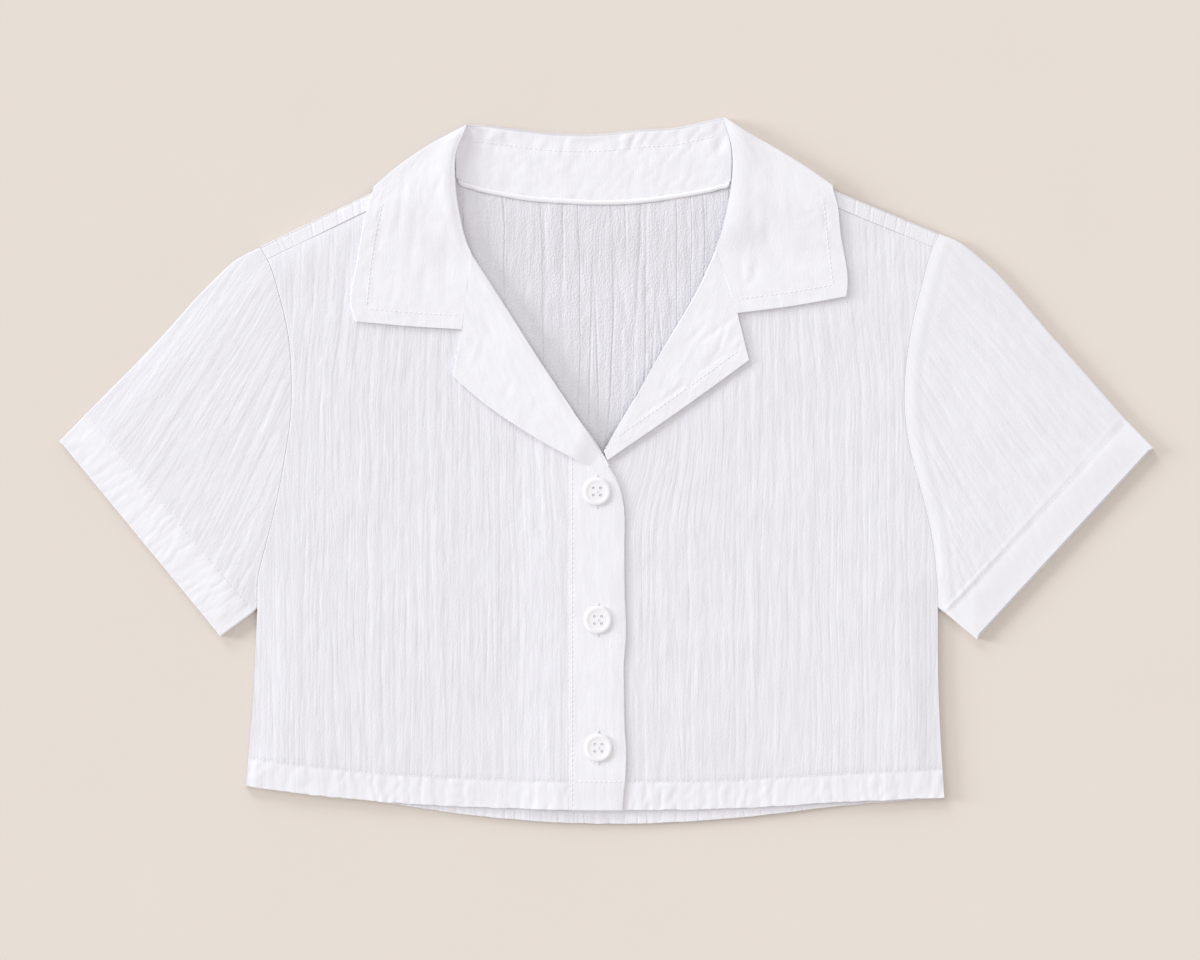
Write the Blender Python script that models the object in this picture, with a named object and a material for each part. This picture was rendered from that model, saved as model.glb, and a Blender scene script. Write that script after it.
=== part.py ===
"""Camp-collar crop top in crinkle cotton gauze, buttoned and lying flat on its back.

Lengths in the tables are millimetres and the model is in metres. +Z is up, +Y runs from the hem to the collar,
and the wearer's right side is at -X. The origin is at the middle of the outline, on the surface below.
Every cloth piece is a wall between two grids of points: one with the crinkles, one plain.
"""

import math
from collections import namedtuple

import bmesh
import bpy
import numpy as np

MM = 0.001

# Cloth, layers and seams
CLOTH = 1.0              # one layer of gauze with its crinkle
COLLAR_CLOTH = 1.2       # two layers and interfacing
PLACKET_CLOTH = 1.4      # folded band
GAP = 0.35               # between layers that lie on each other
SEAM = 0.2               # each piece stops this far short of a seam line
RIB_HEIGHT = 0.45        # highest crinkle over the plain cloth
RIB_COLUMN = 4.8         # columns run ridge, trough, ridge, so a crinkle is two columns wide
TURN_STEPS = (45.0, 90.0, 135.0)   # degrees, the points round a fold

# Heights above the surface, before the lift over the hidden collar
FRONT_UNDER = CLOTH + GAP
FRONT_TOP = FRONT_UNDER + CLOTH
OVERLAP_RISE = CLOTH + GAP
PLACKET_UNDER = FRONT_UNDER + OVERLAP_RISE
PLACKET_TOP = PLACKET_UNDER + PLACKET_CLOTH
TURNED_UNDER = FRONT_TOP + RIB_HEIGHT + GAP
TURNED_TOP = TURNED_UNDER + COLLAR_CLOTH

# The collar's fall lies under the top of the back and lifts what is over it
FALL_LIFT = COLLAR_CLOTH + GAP
FALL_EDGE_Y = 167.5      # its lower edge at the centre back
FALL_EDGE_RISE = 16.5    # how much higher that edge is at FALL_HALF_WIDTH
FALL_HALF_WIDTH = 150.0
LIFT_RUN = 45.0          # the cloth climbs over this length

# Hems
HEM_DEPTH = 18.5
HEM_GROOVE = 1.5         # sewn trough above the hem band
HEM_RAISE = 0.4
SLEEVE_HEM_RAISE = 0.4

# Sides and folds
SIDE_LIP = FRONT_TOP     # radius of the front where it turns down at the side
BACK_SIDE_INSET = 1.9    # the back stays this far inside the side fold
NOTCH_DROP = 0.6         # the side opens this far below the underarm point
FOLD_RADIUS = FRONT_TOP / 2
SHOULDER_STRIP = 10.5    # of the back, in front of the shoulder fold
LIP_STEPS = (0.0, 30.0, 60.0)
SHOULDER_COLUMNS = 9     # of the back, across each shoulder
EDGE_EASE = 90.0         # columns straighten within this distance of an armhole

# Roll of the collar and lapels
HOOK_RADIUS = (TURNED_TOP - FRONT_UNDER) / 2
HOOK_RETURN = 1.2
NECK_INSET = 4.5         # a front's neck edge lies this far inside the roll
HOOK_STEPS = (60.0, 120.0, 180.0)
WRAP_RADIUS = (FALL_LIFT + TURNED_TOP) / 2
COLLAR_ROLL_RADIUS = 1.7

# Binding over the back neck seam
TAPE_ENDS = (-96.4, 80.0)
TAPE_SECTION = ((-1.6, 0.0), (-1.6, 0.45), (0.0, 0.8), (1.6, 0.45), (1.6, 0.0))   # y, z from the seam

# Overlap at the centre front
PLACKET_SEAM_X = -24.6
UNDER_CORNER = (-23.6, 2.0)   # top corner of the left front, under the placket
OVERLAP_RUN = (-62.0, -28.0)
PLACKET_EDGE_X = 12.0
PLACKET_DROP = 0.3            # it hangs this far below the fronts' hem
PLACKET_STRAIGHT = 178.0      # of its length from the hem, before the top that lies under the lapel
# y, x down its free edge; x, y of its top edge; share of its width, height over its underside
PLACKET_EDGE = ((-220.4, 10.7), (-203.0, 12.0), (-183.0, 12.7), (-162.0, 12.0), (-115.0, 12.0), (-99.6, 13.0),
                (-84.0, 12.0), (-34.0, 12.0))
PLACKET_TOP_EDGE = ((-24.4, 36.5), (-8.0, 9.5), (-1.6, -0.8), (4.0, -2.2), (8.1, -9.9), (10.9, -22.0),
                    (12.0, -34.0))
PLACKET_SECTION = ((0.0, 1.5), (0.05, 1.3), (0.2, 1.4), (0.42, 1.4), (0.6, 1.4), (0.8, 1.4), (0.9, 1.3), (1.0, 1.1))

# Buttons
BUTTON_RADIUS = 9.1
BUTTON_THICK = 2.6
BUTTON_HOLE_RADIUS = 0.95
BUTTON_HOLE_OFFSET = 3.0
BUTTON_SEGMENTS = 24
# radius, height of the turned profile, from the dished middle over the rim to the flat base
BUTTON_PROFILE = ((5.6, 1.75), (6.5, 2.4), (7.7, BUTTON_THICK), (8.8, 2.1), (BUTTON_RADIUS, 1.2), (7.9, 0.0))
Button = namedtuple("Button", "node x y")
BUTTONS = (
    Button("button_top", -6.2, -13.5),
    Button("button_middle", -5.5, -96.7),
    Button("button_bottom", -5.2, -179.6),
)

# Tables of two columns are x, y unless they say otherwise
NECK_SEAM = ((-104.0, 203.8), (-100.5, 195.0), (-96.5, 188.6), (-86.8, 184.2), (-70.0, 180.2), (-54.3, 177.4),
             (-21.8, 174.7), (0.3, 174.1), (22.0, 175.2), (43.2, 177.9), (60.0, 180.8), (73.0, 184.0),
             (80.9, 187.6), (84.5, 195.0), (88.0, 206.4))
COLLAR_TOP = ((-91.3, 224.8), (-82.0, 224.6), (-56.2, 221.5), (-30.2, 218.9), (-4.2, 218.9), (21.8, 221.5),
              (47.8, 223.4), (60.8, 226.4), (76.4, 229.6))
FRONT_HEM = ((-234.3, -204.9), (-160.2, -213.7), (-82.2, -218.6), (-28.9, -219.9), (11.0, -220.2),
             (73.8, -219.5), (151.8, -215.3), (219.7, -212.1))
BACK_HEM = ((-234.3, -204.9), (-149.8, -214.7), (-82.2, -224.4), (-4.2, -229.3), (73.8, -226.4),
            (151.8, -217.9), (219.7, -212.1))

# A side's heights are those of its underarm notch, shoulder seam, shoulder fold and hem corner
Side = namedtuple("Side", "name inward notch_y seam_y fold_y hem_y neck_point edge armhole sleeve_top band"
                          " peek strip_raise leaf lapel")
Leaf = namedtuple("Leaf", "outer bottom inner gorge_y wrap join_x")
Lapel = namedtuple("Lapel", "gorge roll lower end")

RIGHT = Side(
    name="right", inward=1.0, notch_y=-90.2, seam_y=137.1, fold_y=145.4, hem_y=-204.9, neck_point=(-104.0, 203.8),
    # y, x down the side of the body
    edge=((-205.0, -234.3), (-175.0, -231.7), (-149.0, -229.6), (-123.0, -228.4), (-90.2, -226.9)),
    # y, x up the armhole seam
    armhole=((-90.2, -226.9), (-70.0, -226.2), (-46.5, -220.6), (-20.5, -214.2), (7.0, -209.0), (33.0, -205.1),
             (59.0, -204.4), (87.5, -206.4), (113.5, -212.2), (137.1, -220.2), (145.4, -225.0)),
    sleeve_top=((-225.0, 145.4), (-240.2, 137.4), (-254.5, 124.6), (-290.9, 85.0), (-337.7, 37.2)),
    # x, y of the sleeve's band: its stitched line, then its edge, each from the top fold to the underarm
    band=((-337.7, 37.2), (-229.3, -92.0), (-355.2, 19.3), (-250.6, -107.7)),
    peek=0.4, strip_raise=0.0,
    leaf=Leaf(
        outer=((-162.6, 96.6), (-165.0, 103.2), (-161.5, 137.0), (-156.3, 165.6), (-151.3, 184.6)),
        bottom=((-162.6, 96.6), (-128.0, 93.6), (-93.4, 91.5)),
        inner=((-93.4, 91.5), (-87.3, 140.9), (-95.2, 167.5), (-98.0, 191.6), (-97.5, 206.0), (-91.3, 224.8)),
        gorge_y=140.9,
        wrap=((-151.3, 184.6), (-138.8, 195.5), (-116.7, 211.1), (-91.3, 224.8)),
        join_x=-88.6),
    lapel=Lapel(
        gorge=((-93.3, 91.5), (-87.3, 140.9)),
        roll=((-87.3, 140.9), (-69.2, 112.9), (-43.2, 72.0), (-3.8, 12.2), (2.3, 1.8)),
        lower=((-99.8, 61.6), (-92.0, 54.4), (-84.8, 48.2), (-45.8, 21.3), (-4.2, -0.8)),
        end=((2.3, 1.8), (-4.2, -0.8))),
)
LEFT = Side(
    name="left", inward=-1.0, notch_y=-89.9, seam_y=145.1, fold_y=153.9, hem_y=-212.1, neck_point=(88.0, 206.4),
    edge=((-212.1, 219.7), (-188.0, 218.1), (-149.0, 216.1), (-123.0, 215.5), (-89.9, 215.5)),
    armhole=((-89.9, 215.5), (-71.0, 214.4), (-39.8, 210.6), (-16.4, 205.1), (7.0, 198.6), (38.2, 193.6),
             (64.2, 194.0), (95.4, 198.6), (121.0, 204.8), (145.1, 211.9), (153.9, 216.0)),
    sleeve_top=((216.0, 153.9), (228.0, 149.0), (243.4, 137.4), (291.5, 85.0), (337.4, 33.0)),
    band=((337.4, 33.0), (221.0, -93.2), (355.2, 14.8), (240.5, -109.4)),
    peek=1.3, strip_raise=0.4,
    leaf=Leaf(
        outer=((155.6, 113.0), (156.3, 118.0), (151.8, 155.2), (150.0, 172.0), (147.2, 185.0)),
        bottom=((155.6, 113.0), (122.0, 107.0), (84.9, 102.1)),
        inner=((84.9, 102.1), (70.5, 143.5), (79.3, 177.0), (81.6, 196.8), (80.7, 212.0), (76.4, 229.6)),
        gorge_y=143.5,
        wrap=((147.2, 185.0), (132.3, 195.6), (106.9, 211.1), (92.6, 219.2), (76.4, 229.6)),
        join_x=74.0),
    lapel=Lapel(
        gorge=((84.9, 102.1), (70.5, 143.5)),
        roll=((70.5, 143.5), (60.8, 121.8), (35.6, 78.2), (-1.9, 13.1)),
        lower=((92.6, 71.6), (47.0, 38.6), (0.9, 6.8)),
        end=((-1.9, 13.1), (0.9, 6.8))),
)

# Rows up an armhole, as shares of its height, closer towards the shoulder
ARMHOLE_SHARES = (0.1, 0.2, 0.3, 0.4, 0.5, 0.6, 0.7, 0.79, 0.87, 0.94, 1.0)


# Curves and patches

def ease(t):
    """Smooth step from 0 to 1."""
    t = np.clip(t, 0.0, 1.0)
    return t * t * (3.0 - 2.0 * t)


def through(rows, at):
    """Second column of a table at the given values of its first, on a smooth curve through the rows."""
    known, values = np.array(rows, float).T
    slopes = np.gradient(values, known)
    at = np.clip(np.asarray(at, float), known[0], known[-1])
    k = np.clip(np.searchsorted(known, at, side="right") - 1, 0, len(known) - 2)
    span = known[k + 1] - known[k]
    t = (at - known[k]) / span
    start = (1 + 2 * t) * (1 - t) ** 2 * values[k] + t * (1 - t) ** 2 * span * slopes[k]
    end = t * t * (3 - 2 * t) * values[k + 1] + t * t * (t - 1) * span * slopes[k + 1]
    return start + end


def along(points, shares, smooth=True):
    """Points at the given shares of a path's length."""
    points = np.array(points, float)
    lengths = np.concatenate(([0.0], np.cumsum(np.linalg.norm(np.diff(points, axis=0), axis=1))))
    at = np.asarray(shares, float) * lengths[-1]
    if smooth and len(points) > 2:
        columns = [through(np.column_stack((lengths, column)), at) for column in points.T]
    else:
        columns = [np.interp(at, lengths, column) for column in points.T]
    return np.column_stack(columns)


def inset(path, amount, towards):
    """A path moved sideways by an amount at each point, to the side where a point lies."""
    step = np.gradient(path, axis=0)
    normal = np.column_stack((-step[:, 1], step[:, 0]))
    normal /= np.linalg.norm(normal, axis=1)[:, None]
    middle = len(path) // 2
    if np.dot(normal[middle], np.asarray(towards) - path[middle]) < 0:
        normal = -normal
    return path + normal * np.broadcast_to(amount, len(path))[:, None]


def patch(start, finish, first, last):
    """Surface between four sides: start and finish run along i, first and last run along j."""
    i_share = np.linspace(0, 1, len(start))[:, None, None]
    j_share = np.linspace(0, 1, len(first))[None, :, None]
    across = (1 - j_share) * start[:, None] + j_share * finish[:, None]
    down = (1 - i_share) * first[None] + i_share * last[None]
    corners = ((1 - i_share) * ((1 - j_share) * start[0] + j_share * finish[0])
               + i_share * ((1 - j_share) * start[-1] + j_share * finish[-1]))
    return across + down - corners


def with_height(plan, height):
    return np.concatenate((plan, np.broadcast_to(height, plan.shape[:-1])[..., None]), axis=-1)


# Heights that several pieces share

def armhole_x(side, y):
    """x of the armhole seam."""
    return through(side.armhole, y)


def fall_edge(x):
    return FALL_EDGE_Y + FALL_EDGE_RISE * (np.asarray(x) / FALL_HALF_WIDTH) ** 2


def fall_lift(x, y):
    """How far the cloth is lifted by the collar's fall under it."""
    return FALL_LIFT * ease((y - fall_edge(x) + LIFT_RUN) / LIFT_RUN)


def overlap_rise(x):
    """How far the right front rises over the left one towards the centre."""
    start, end = OVERLAP_RUN
    return OVERLAP_RISE * ease((np.asarray(x) - start) / (end - start))


def crinkle(column, place, phase=0.0):
    """Height of the crinkles: every second column is a ridge, and ridges are uneven along their length.

    The place along a column is in millimetres, and the phase sets one panel apart from the next.
    """
    swell = 0.5 + 0.5 * np.sin(2.4 * column + phase + 0.021 * place * (1 + 0.3 * np.sin(column)))
    ridge = 0.35 + 0.65 * swell
    return RIB_HEIGHT * np.where(column % 2 == 1, ridge, 0.12 * swell)


# Solids

def cloth_material():
    material = bpy.data.materials.new("white_gauze")
    material.use_nodes = True
    shader = material.node_tree.nodes["Principled BSDF"]
    shader.inputs["Base Color"].default_value = (0.90, 0.90, 0.92, 1.0)
    shader.inputs["Roughness"].default_value = 0.9
    return material


def button_material():
    material = bpy.data.materials.new("white_button")
    material.use_nodes = True
    shader = material.node_tree.nodes["Principled BSDF"]
    shader.inputs["Base Color"].default_value = (0.93, 0.93, 0.93, 1.0)
    shader.inputs["Roughness"].default_value = 0.3
    return material


def add_object(name, bm, material):
    bmesh.ops.recalc_face_normals(bm, faces=bm.faces)
    mesh = bpy.data.meshes.new(name)
    bm.to_mesh(mesh)
    bm.free()
    mesh.materials.append(material)
    obj = bpy.data.objects.new(name, mesh)
    bpy.context.scene.collection.objects.link(obj)
    return obj


def every(count, step, *spans):
    """Column numbers at a step, with every column of the given spans."""
    kept = set(range(0, count, step)) | {count - 1}
    for start, end in spans:
        kept |= set(range(start, end))
    return kept


def add_wall(name, fine, plain, material, plain_columns, present=None, ring=False):
    """Closed wall between two matching grids of points.

    The fine side has a face for each cell. The plain side has faces between its own, fewer columns.
    Cells that are not present leave the wall out there. A ring joins its last column to its first.
    """
    count_i, count_j = fine.shape[:2]
    cells_i = count_i if ring else count_i - 1
    if present is None:
        present = np.ones((cells_i, count_j - 1), bool)

    def corner(i, j):
        return (i % count_i if ring else i, j)

    faces = [[corner(i, j), corner(i + 1, j), corner(i + 1, j + 1), corner(i, j + 1)]
             for i in range(cells_i) for j in range(count_j - 1) if present[i, j]]
    edges = {(face[k], face[(k + 1) % 4]) for face in faces for k in range(4)}
    rim = [edge for edge in edges if edge[::-1] not in edges]
    rim_corners = {point for edge in rim for point in edge}

    def kept(i, j):
        return i in plain_columns or corner(i, j) in rim_corners

    bm = bmesh.new()
    fine_vertex = {}
    plain_vertex = {}

    def vertex(known, grid, key):
        if key not in known:
            known[key] = bm.verts.new(grid[key] * MM)
        return known[key]

    for face in faces:
        bm.faces.new([vertex(fine_vertex, fine, key) for key in face])
    for j in range(count_j - 1):
        i = 0
        while i < cells_i:
            if not present[i, j]:
                i += 1
                continue
            end = i + 1
            while end < cells_i and present[end, j] and end not in plain_columns:
                end += 1
            low = [corner(k, j) for k in range(i, end + 1) if k in (i, end) or kept(k, j)]
            high = [corner(k, j + 1) for k in range(i, end + 1) if k in (i, end) or kept(k, j + 1)]
            bm.faces.new([vertex(plain_vertex, plain, key) for key in high + low[::-1]])
            i = end
    for start, end in sorted(rim):
        bm.faces.new([vertex(fine_vertex, fine, end), vertex(fine_vertex, fine, start),
                      vertex(plain_vertex, plain, start), vertex(plain_vertex, plain, end)])
    return add_object(name, bm, material)


# Body panels

def hem_levels(side):
    """Heights of the hem's rows at the side of the body."""
    return side.hem_y + np.array((0.0, HEM_DEPTH, HEM_DEPTH + HEM_GROOVE))


def upper_levels(side, to_fold=False):
    """Heights of the rows above the hem at the side of the body, up to the shoulder seam or fold."""
    start = side.hem_y + HEM_DEPTH + HEM_GROOVE
    notch = side.notch_y - NOTCH_DROP
    armhole = side.notch_y + np.array(ARMHOLE_SHARES) * (side.seam_y - side.notch_y)
    fold = [side.fold_y - FOLD_RADIUS] if to_fold else []
    return np.concatenate(([0.5 * (start + notch), notch], armhole, fold))


NOTCH_ROW = 4            # three rows of the hem, one between, then the notch


def side_edge(side, levels, below_inset):
    """x of a panel's edge at the given heights: inside the side fold below the notch, at the seam above it."""
    below = through(side.edge, levels) + side.inward * below_inset
    above = armhole_x(side, levels) + side.inward * SEAM
    return np.where(levels <= side.notch_y - NOTCH_DROP + 0.01, below, above)


def end_weight(columns, anchor):
    """How much each column follows the curved edge at the anchor."""
    return np.clip(1 - np.abs(columns - anchor) / EDGE_EASE, 0, 1) ** 1.5


def body_plan(columns, hem, top, ends, below_inset, to_fold=False):
    """Plan of a body panel. Columns run from the hem to the top edge. Ends are pairs of a side and its x."""
    rows = 3 + len(upper_levels(RIGHT, to_fold))
    x = np.repeat(columns[:, None], rows, axis=1)
    shares = np.zeros((len(columns), rows - 3))
    weights = np.zeros(len(columns))
    for side, anchor in ends:
        upper = upper_levels(side, to_fold)
        levels = np.concatenate((hem_levels(side), upper))
        x += end_weight(columns, anchor)[:, None] * (side_edge(side, levels, below_inset) - anchor)[None]
        start = side.hem_y + HEM_DEPTH + HEM_GROOVE
        share = (upper - start) / (upper[-1] - start)
        nearness = 1 / (np.abs(columns - anchor) + 1e-3) if len(ends) > 1 else np.ones(len(columns))
        shares += nearness[:, None] * share[None]
        weights += nearness
    shares /= weights[:, None]
    hem_y = through(hem, x[:, 0])
    start = hem_y + HEM_DEPTH + HEM_GROOVE
    y = np.empty_like(x)
    y[:, :3] = hem_y[:, None] + np.array((0.0, HEM_DEPTH, HEM_DEPTH + HEM_GROOVE))[None]
    y[:, 3:] = start[:, None] + shares * (top(x[:, -1]) - start)[:, None]
    for side, anchor in ends:
        end = int(np.argmin(np.abs(columns - anchor)))
        y[end] = np.concatenate((hem_levels(side), upper_levels(side, to_fold)))
    return np.stack((x, y), axis=-1)


def shoulder_fold(x):
    """y of the shoulder folds, which are straight from the neck points to the armholes."""
    lines = []
    for side in (RIGHT, LEFT):
        end_x = armhole_x(side, side.fold_y)
        slope = (side.neck_point[1] - side.fold_y) / (side.neck_point[0] - end_x)
        lines.append(side.fold_y + (x - end_x) * slope)
    return np.where(x < 0, lines[0], lines[1])


def seam_end_x(side, below_fold):
    """x where a line at this distance below the shoulder fold meets the armhole."""
    level = side.fold_y
    for _ in range(6):
        level = shoulder_fold(armhole_x(side, level)) - below_fold
    return armhole_x(side, level)


def opening_x(side, y):
    """x of the rolled edge of the neck opening, down to the placket."""
    below = sorted((row[1], row[0]) for row in side.lapel.roll)
    above = sorted((row[1], row[0]) for row in side.leaf.inner[2:])
    return through(below + above, y)


def hem_raise(count):
    """Height of the hem's band over the plain cloth, for the first rows."""
    raised = np.zeros(count)
    raised[:2] = (0.6 * HEM_RAISE, HEM_RAISE)
    return raised


def front_middle(side):
    """A point in the middle of a front, towards which its neck, collar and lapel edges are inset."""
    return -side.inward * 130.0, 0.0


def neck_edge(side):
    """Neck edge of a front, which lies under the collar and lapel a little inside their roll."""
    start = (side.neck_point[0], side.neck_point[1] - SHOULDER_STRIP - SEAM)
    under_collar = inset(along(side.leaf.inner[1:4], (0.0, 0.5, 1.0)), NECK_INSET, front_middle(side))
    under_lapel = inset(along(side.lapel.roll[:4], np.linspace(0, 1, 12)), NECK_INSET, front_middle(side))
    points = [start, *under_collar[1:0:-1], *under_lapel]
    if side is LEFT:
        points.append(UNDER_CORNER)
    return np.array(sorted(map(tuple, points)))


def front_ribs(side, numbers, x, y):
    """Crinkles of a front: none at the side or under the placket, and low ones on the hem."""
    if side is RIGHT:
        ribs = crinkle(numbers, y, 0.0) * (1 - 0.5 * ease((x - PLACKET_SEAM_X + 14) / 14))
    else:
        ribs = crinkle(numbers, y, 1.9) * clear_of_placket(x)
    ribs[0] = 0
    ribs[:, :3] *= (0.2, 0.2, 0.0)
    return ribs


def clear_of_placket(x):
    """0 under the placket and 1 beyond its edge."""
    return ease((x - PLACKET_EDGE_X - 1) / 8)


def side_lip(side, y):
    """Columns that turn a front down to the surface at its side fold, outside and inside."""
    edge_x = through(side.edge, np.concatenate((hem_levels(side), upper_levels(side))))
    lips = []
    for radius in (SIDE_LIP, SIDE_LIP - CLOTH):
        angles = np.radians(LIP_STEPS)[:, None]
        x = edge_x + side.inward * (SIDE_LIP - radius * np.cos(angles))
        z = radius * np.sin(angles) * np.ones(len(edge_x))
        lips.append(np.stack((x, np.broadcast_to(y, x.shape), z), axis=-1))
    return lips


def make_front(side, material):
    """A front: from the side fold and armhole to the centre, with its neck edge under the lapel."""
    neck = neck_edge(side)
    centre = PLACKET_SEAM_X - SEAM if side is RIGHT else UNDER_CORNER[0]
    outer = float(armhole_x(side, side.seam_y)) + side.inward * SEAM

    def top(x):
        shoulder = shoulder_fold(x) - SHOULDER_STRIP - SEAM
        at_neck = np.interp(x, neck[:, 0], neck[:, 1])
        return np.where((x - side.neck_point[0]) * side.inward < 0, shoulder, at_neck)

    count = int(round(abs(centre - outer) / RIB_COLUMN))
    columns = np.linspace(outer, centre, count + 1)
    plan = body_plan(columns, FRONT_HEM, top, [(side, outer)], SIDE_LIP)
    x, y = plan[..., 0], plan[..., 1]
    under = FRONT_UNDER + fall_lift(x, y)
    raised = hem_raise(x.shape[1]) * np.ones(x.shape)
    if side is RIGHT:
        under = under + overlap_rise(x)
    else:
        raised = raised * clear_of_placket(x)
    ribs = front_ribs(side, np.arange(len(columns))[:, None], x, y)
    lip_outside, lip_inside = side_lip(side, y[0])
    fine = np.concatenate((lip_outside, with_height(plan, under + CLOTH + ribs + raised)))
    plain = np.concatenate((lip_inside, with_height(plan, under)))
    lip = len(LIP_STEPS)
    present = np.ones((len(fine) - 1, x.shape[1] - 1), bool)
    present[:lip, NOTCH_ROW:] = False
    ramp = (len(fine) - 9, len(fine)) if side is RIGHT else (0, 0)
    kept = every(len(fine), 4, (0, lip + 1), ramp)
    return add_wall("front_" + side.name, fine, plain, material, kept, present)


def shoulder_wrap(columns, ends):
    """Rows of the back from the shoulder fold round to the shoulder seam in front, outside and inside."""
    fold_lift = fall_lift(columns, shoulder_fold(columns) - FOLD_RADIUS)
    turns = [(angle, 0.0) for angle in TURN_STEPS] + [(180.0, 0.0), (180.0, SHOULDER_STRIP - FOLD_RADIUS)]
    wraps = []
    for radius in (FOLD_RADIUS, FOLD_RADIUS - CLOTH):
        rows = []
        for angle, beyond in turns:
            turn = math.radians(angle)
            below_fold = FOLD_RADIUS - radius * math.sin(turn) + beyond
            x = columns.copy()
            for side, anchor in ends:
                x += end_weight(columns, anchor) * (seam_end_x(side, below_fold) + side.inward * SEAM - anchor)
            z = fold_lift + FOLD_RADIUS - radius * math.cos(turn)
            rows.append(np.column_stack((x, shoulder_fold(x) - below_fold, z)))
        wraps.append(np.stack(rows, axis=1))
    return wraps


def make_back(material):
    """The back, which wraps forward over both shoulder folds to the shoulder seams."""
    ends = [(side, float(armhole_x(side, side.fold_y))) for side in (RIGHT, LEFT)]
    neck_right, neck_left = RIGHT.neck_point[0], LEFT.neck_point[0]
    middle_count = int(round((neck_left - neck_right) / RIB_COLUMN))
    right = np.linspace(ends[0][1], neck_right, SHOULDER_COLUMNS)
    middle = np.linspace(neck_right, neck_left, middle_count + 1)
    left = np.linspace(neck_left, ends[1][1], SHOULDER_COLUMNS)
    columns = np.concatenate((right, middle[1:-1], left))

    def top(x):
        seam = through(NECK_SEAM, x) - 2 * SEAM
        return np.where((x > neck_right) & (x < neck_left), seam, shoulder_fold(x) - FOLD_RADIUS)

    plan = body_plan(columns, BACK_HEM, top, ends, BACK_SIDE_INSET, to_fold=True)
    x, y = plan[..., 0], plan[..., 1]
    lift = fall_lift(x, y)
    in_opening = ease((x - opening_x(RIGHT, y) - 2) / 7) * ease((opening_x(LEFT, y) - 2 - x) / 7)
    in_opening = in_opening * ease((y - 10) / 20) * ease((through(NECK_SEAM, x) - 5 - y) / 6)
    ribs = crinkle(np.arange(len(columns))[:, None], y, 0.7) * in_opening
    wrap_outside, wrap_inside = shoulder_wrap(columns, ends)
    outside = np.concatenate((with_height(plan, lift), wrap_outside), axis=1)
    inside = np.concatenate((with_height(plan, lift + CLOTH + ribs), wrap_inside), axis=1)
    present = np.ones((len(columns) - 1, outside.shape[1] - 1), bool)
    present[len(right) - 1:len(right) - 1 + middle_count, x.shape[1] - 1:] = False
    kept = every(len(columns), 4, (0, len(right) + 1), (len(columns) - len(left) - 1, len(columns)))
    return add_wall("back", inside, outside, material, kept, present)


# Sleeves

def armhole_line(side, between):
    """The armhole seam from the shoulder fold to the underarm, through the body panels' own points."""
    levels = np.concatenate(([side.notch_y + FOLD_RADIUS], upper_levels(side)[2:], [side.fold_y - FOLD_RADIUS]))
    stations = np.column_stack((armhole_x(side, levels), levels))[::-1]
    steps = np.linspace(0, len(stations) - 1, (len(stations) - 1) * between + 1)
    numbers = np.arange(len(stations))
    return np.column_stack([np.interp(steps, numbers, column) for column in stations.T])


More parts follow.
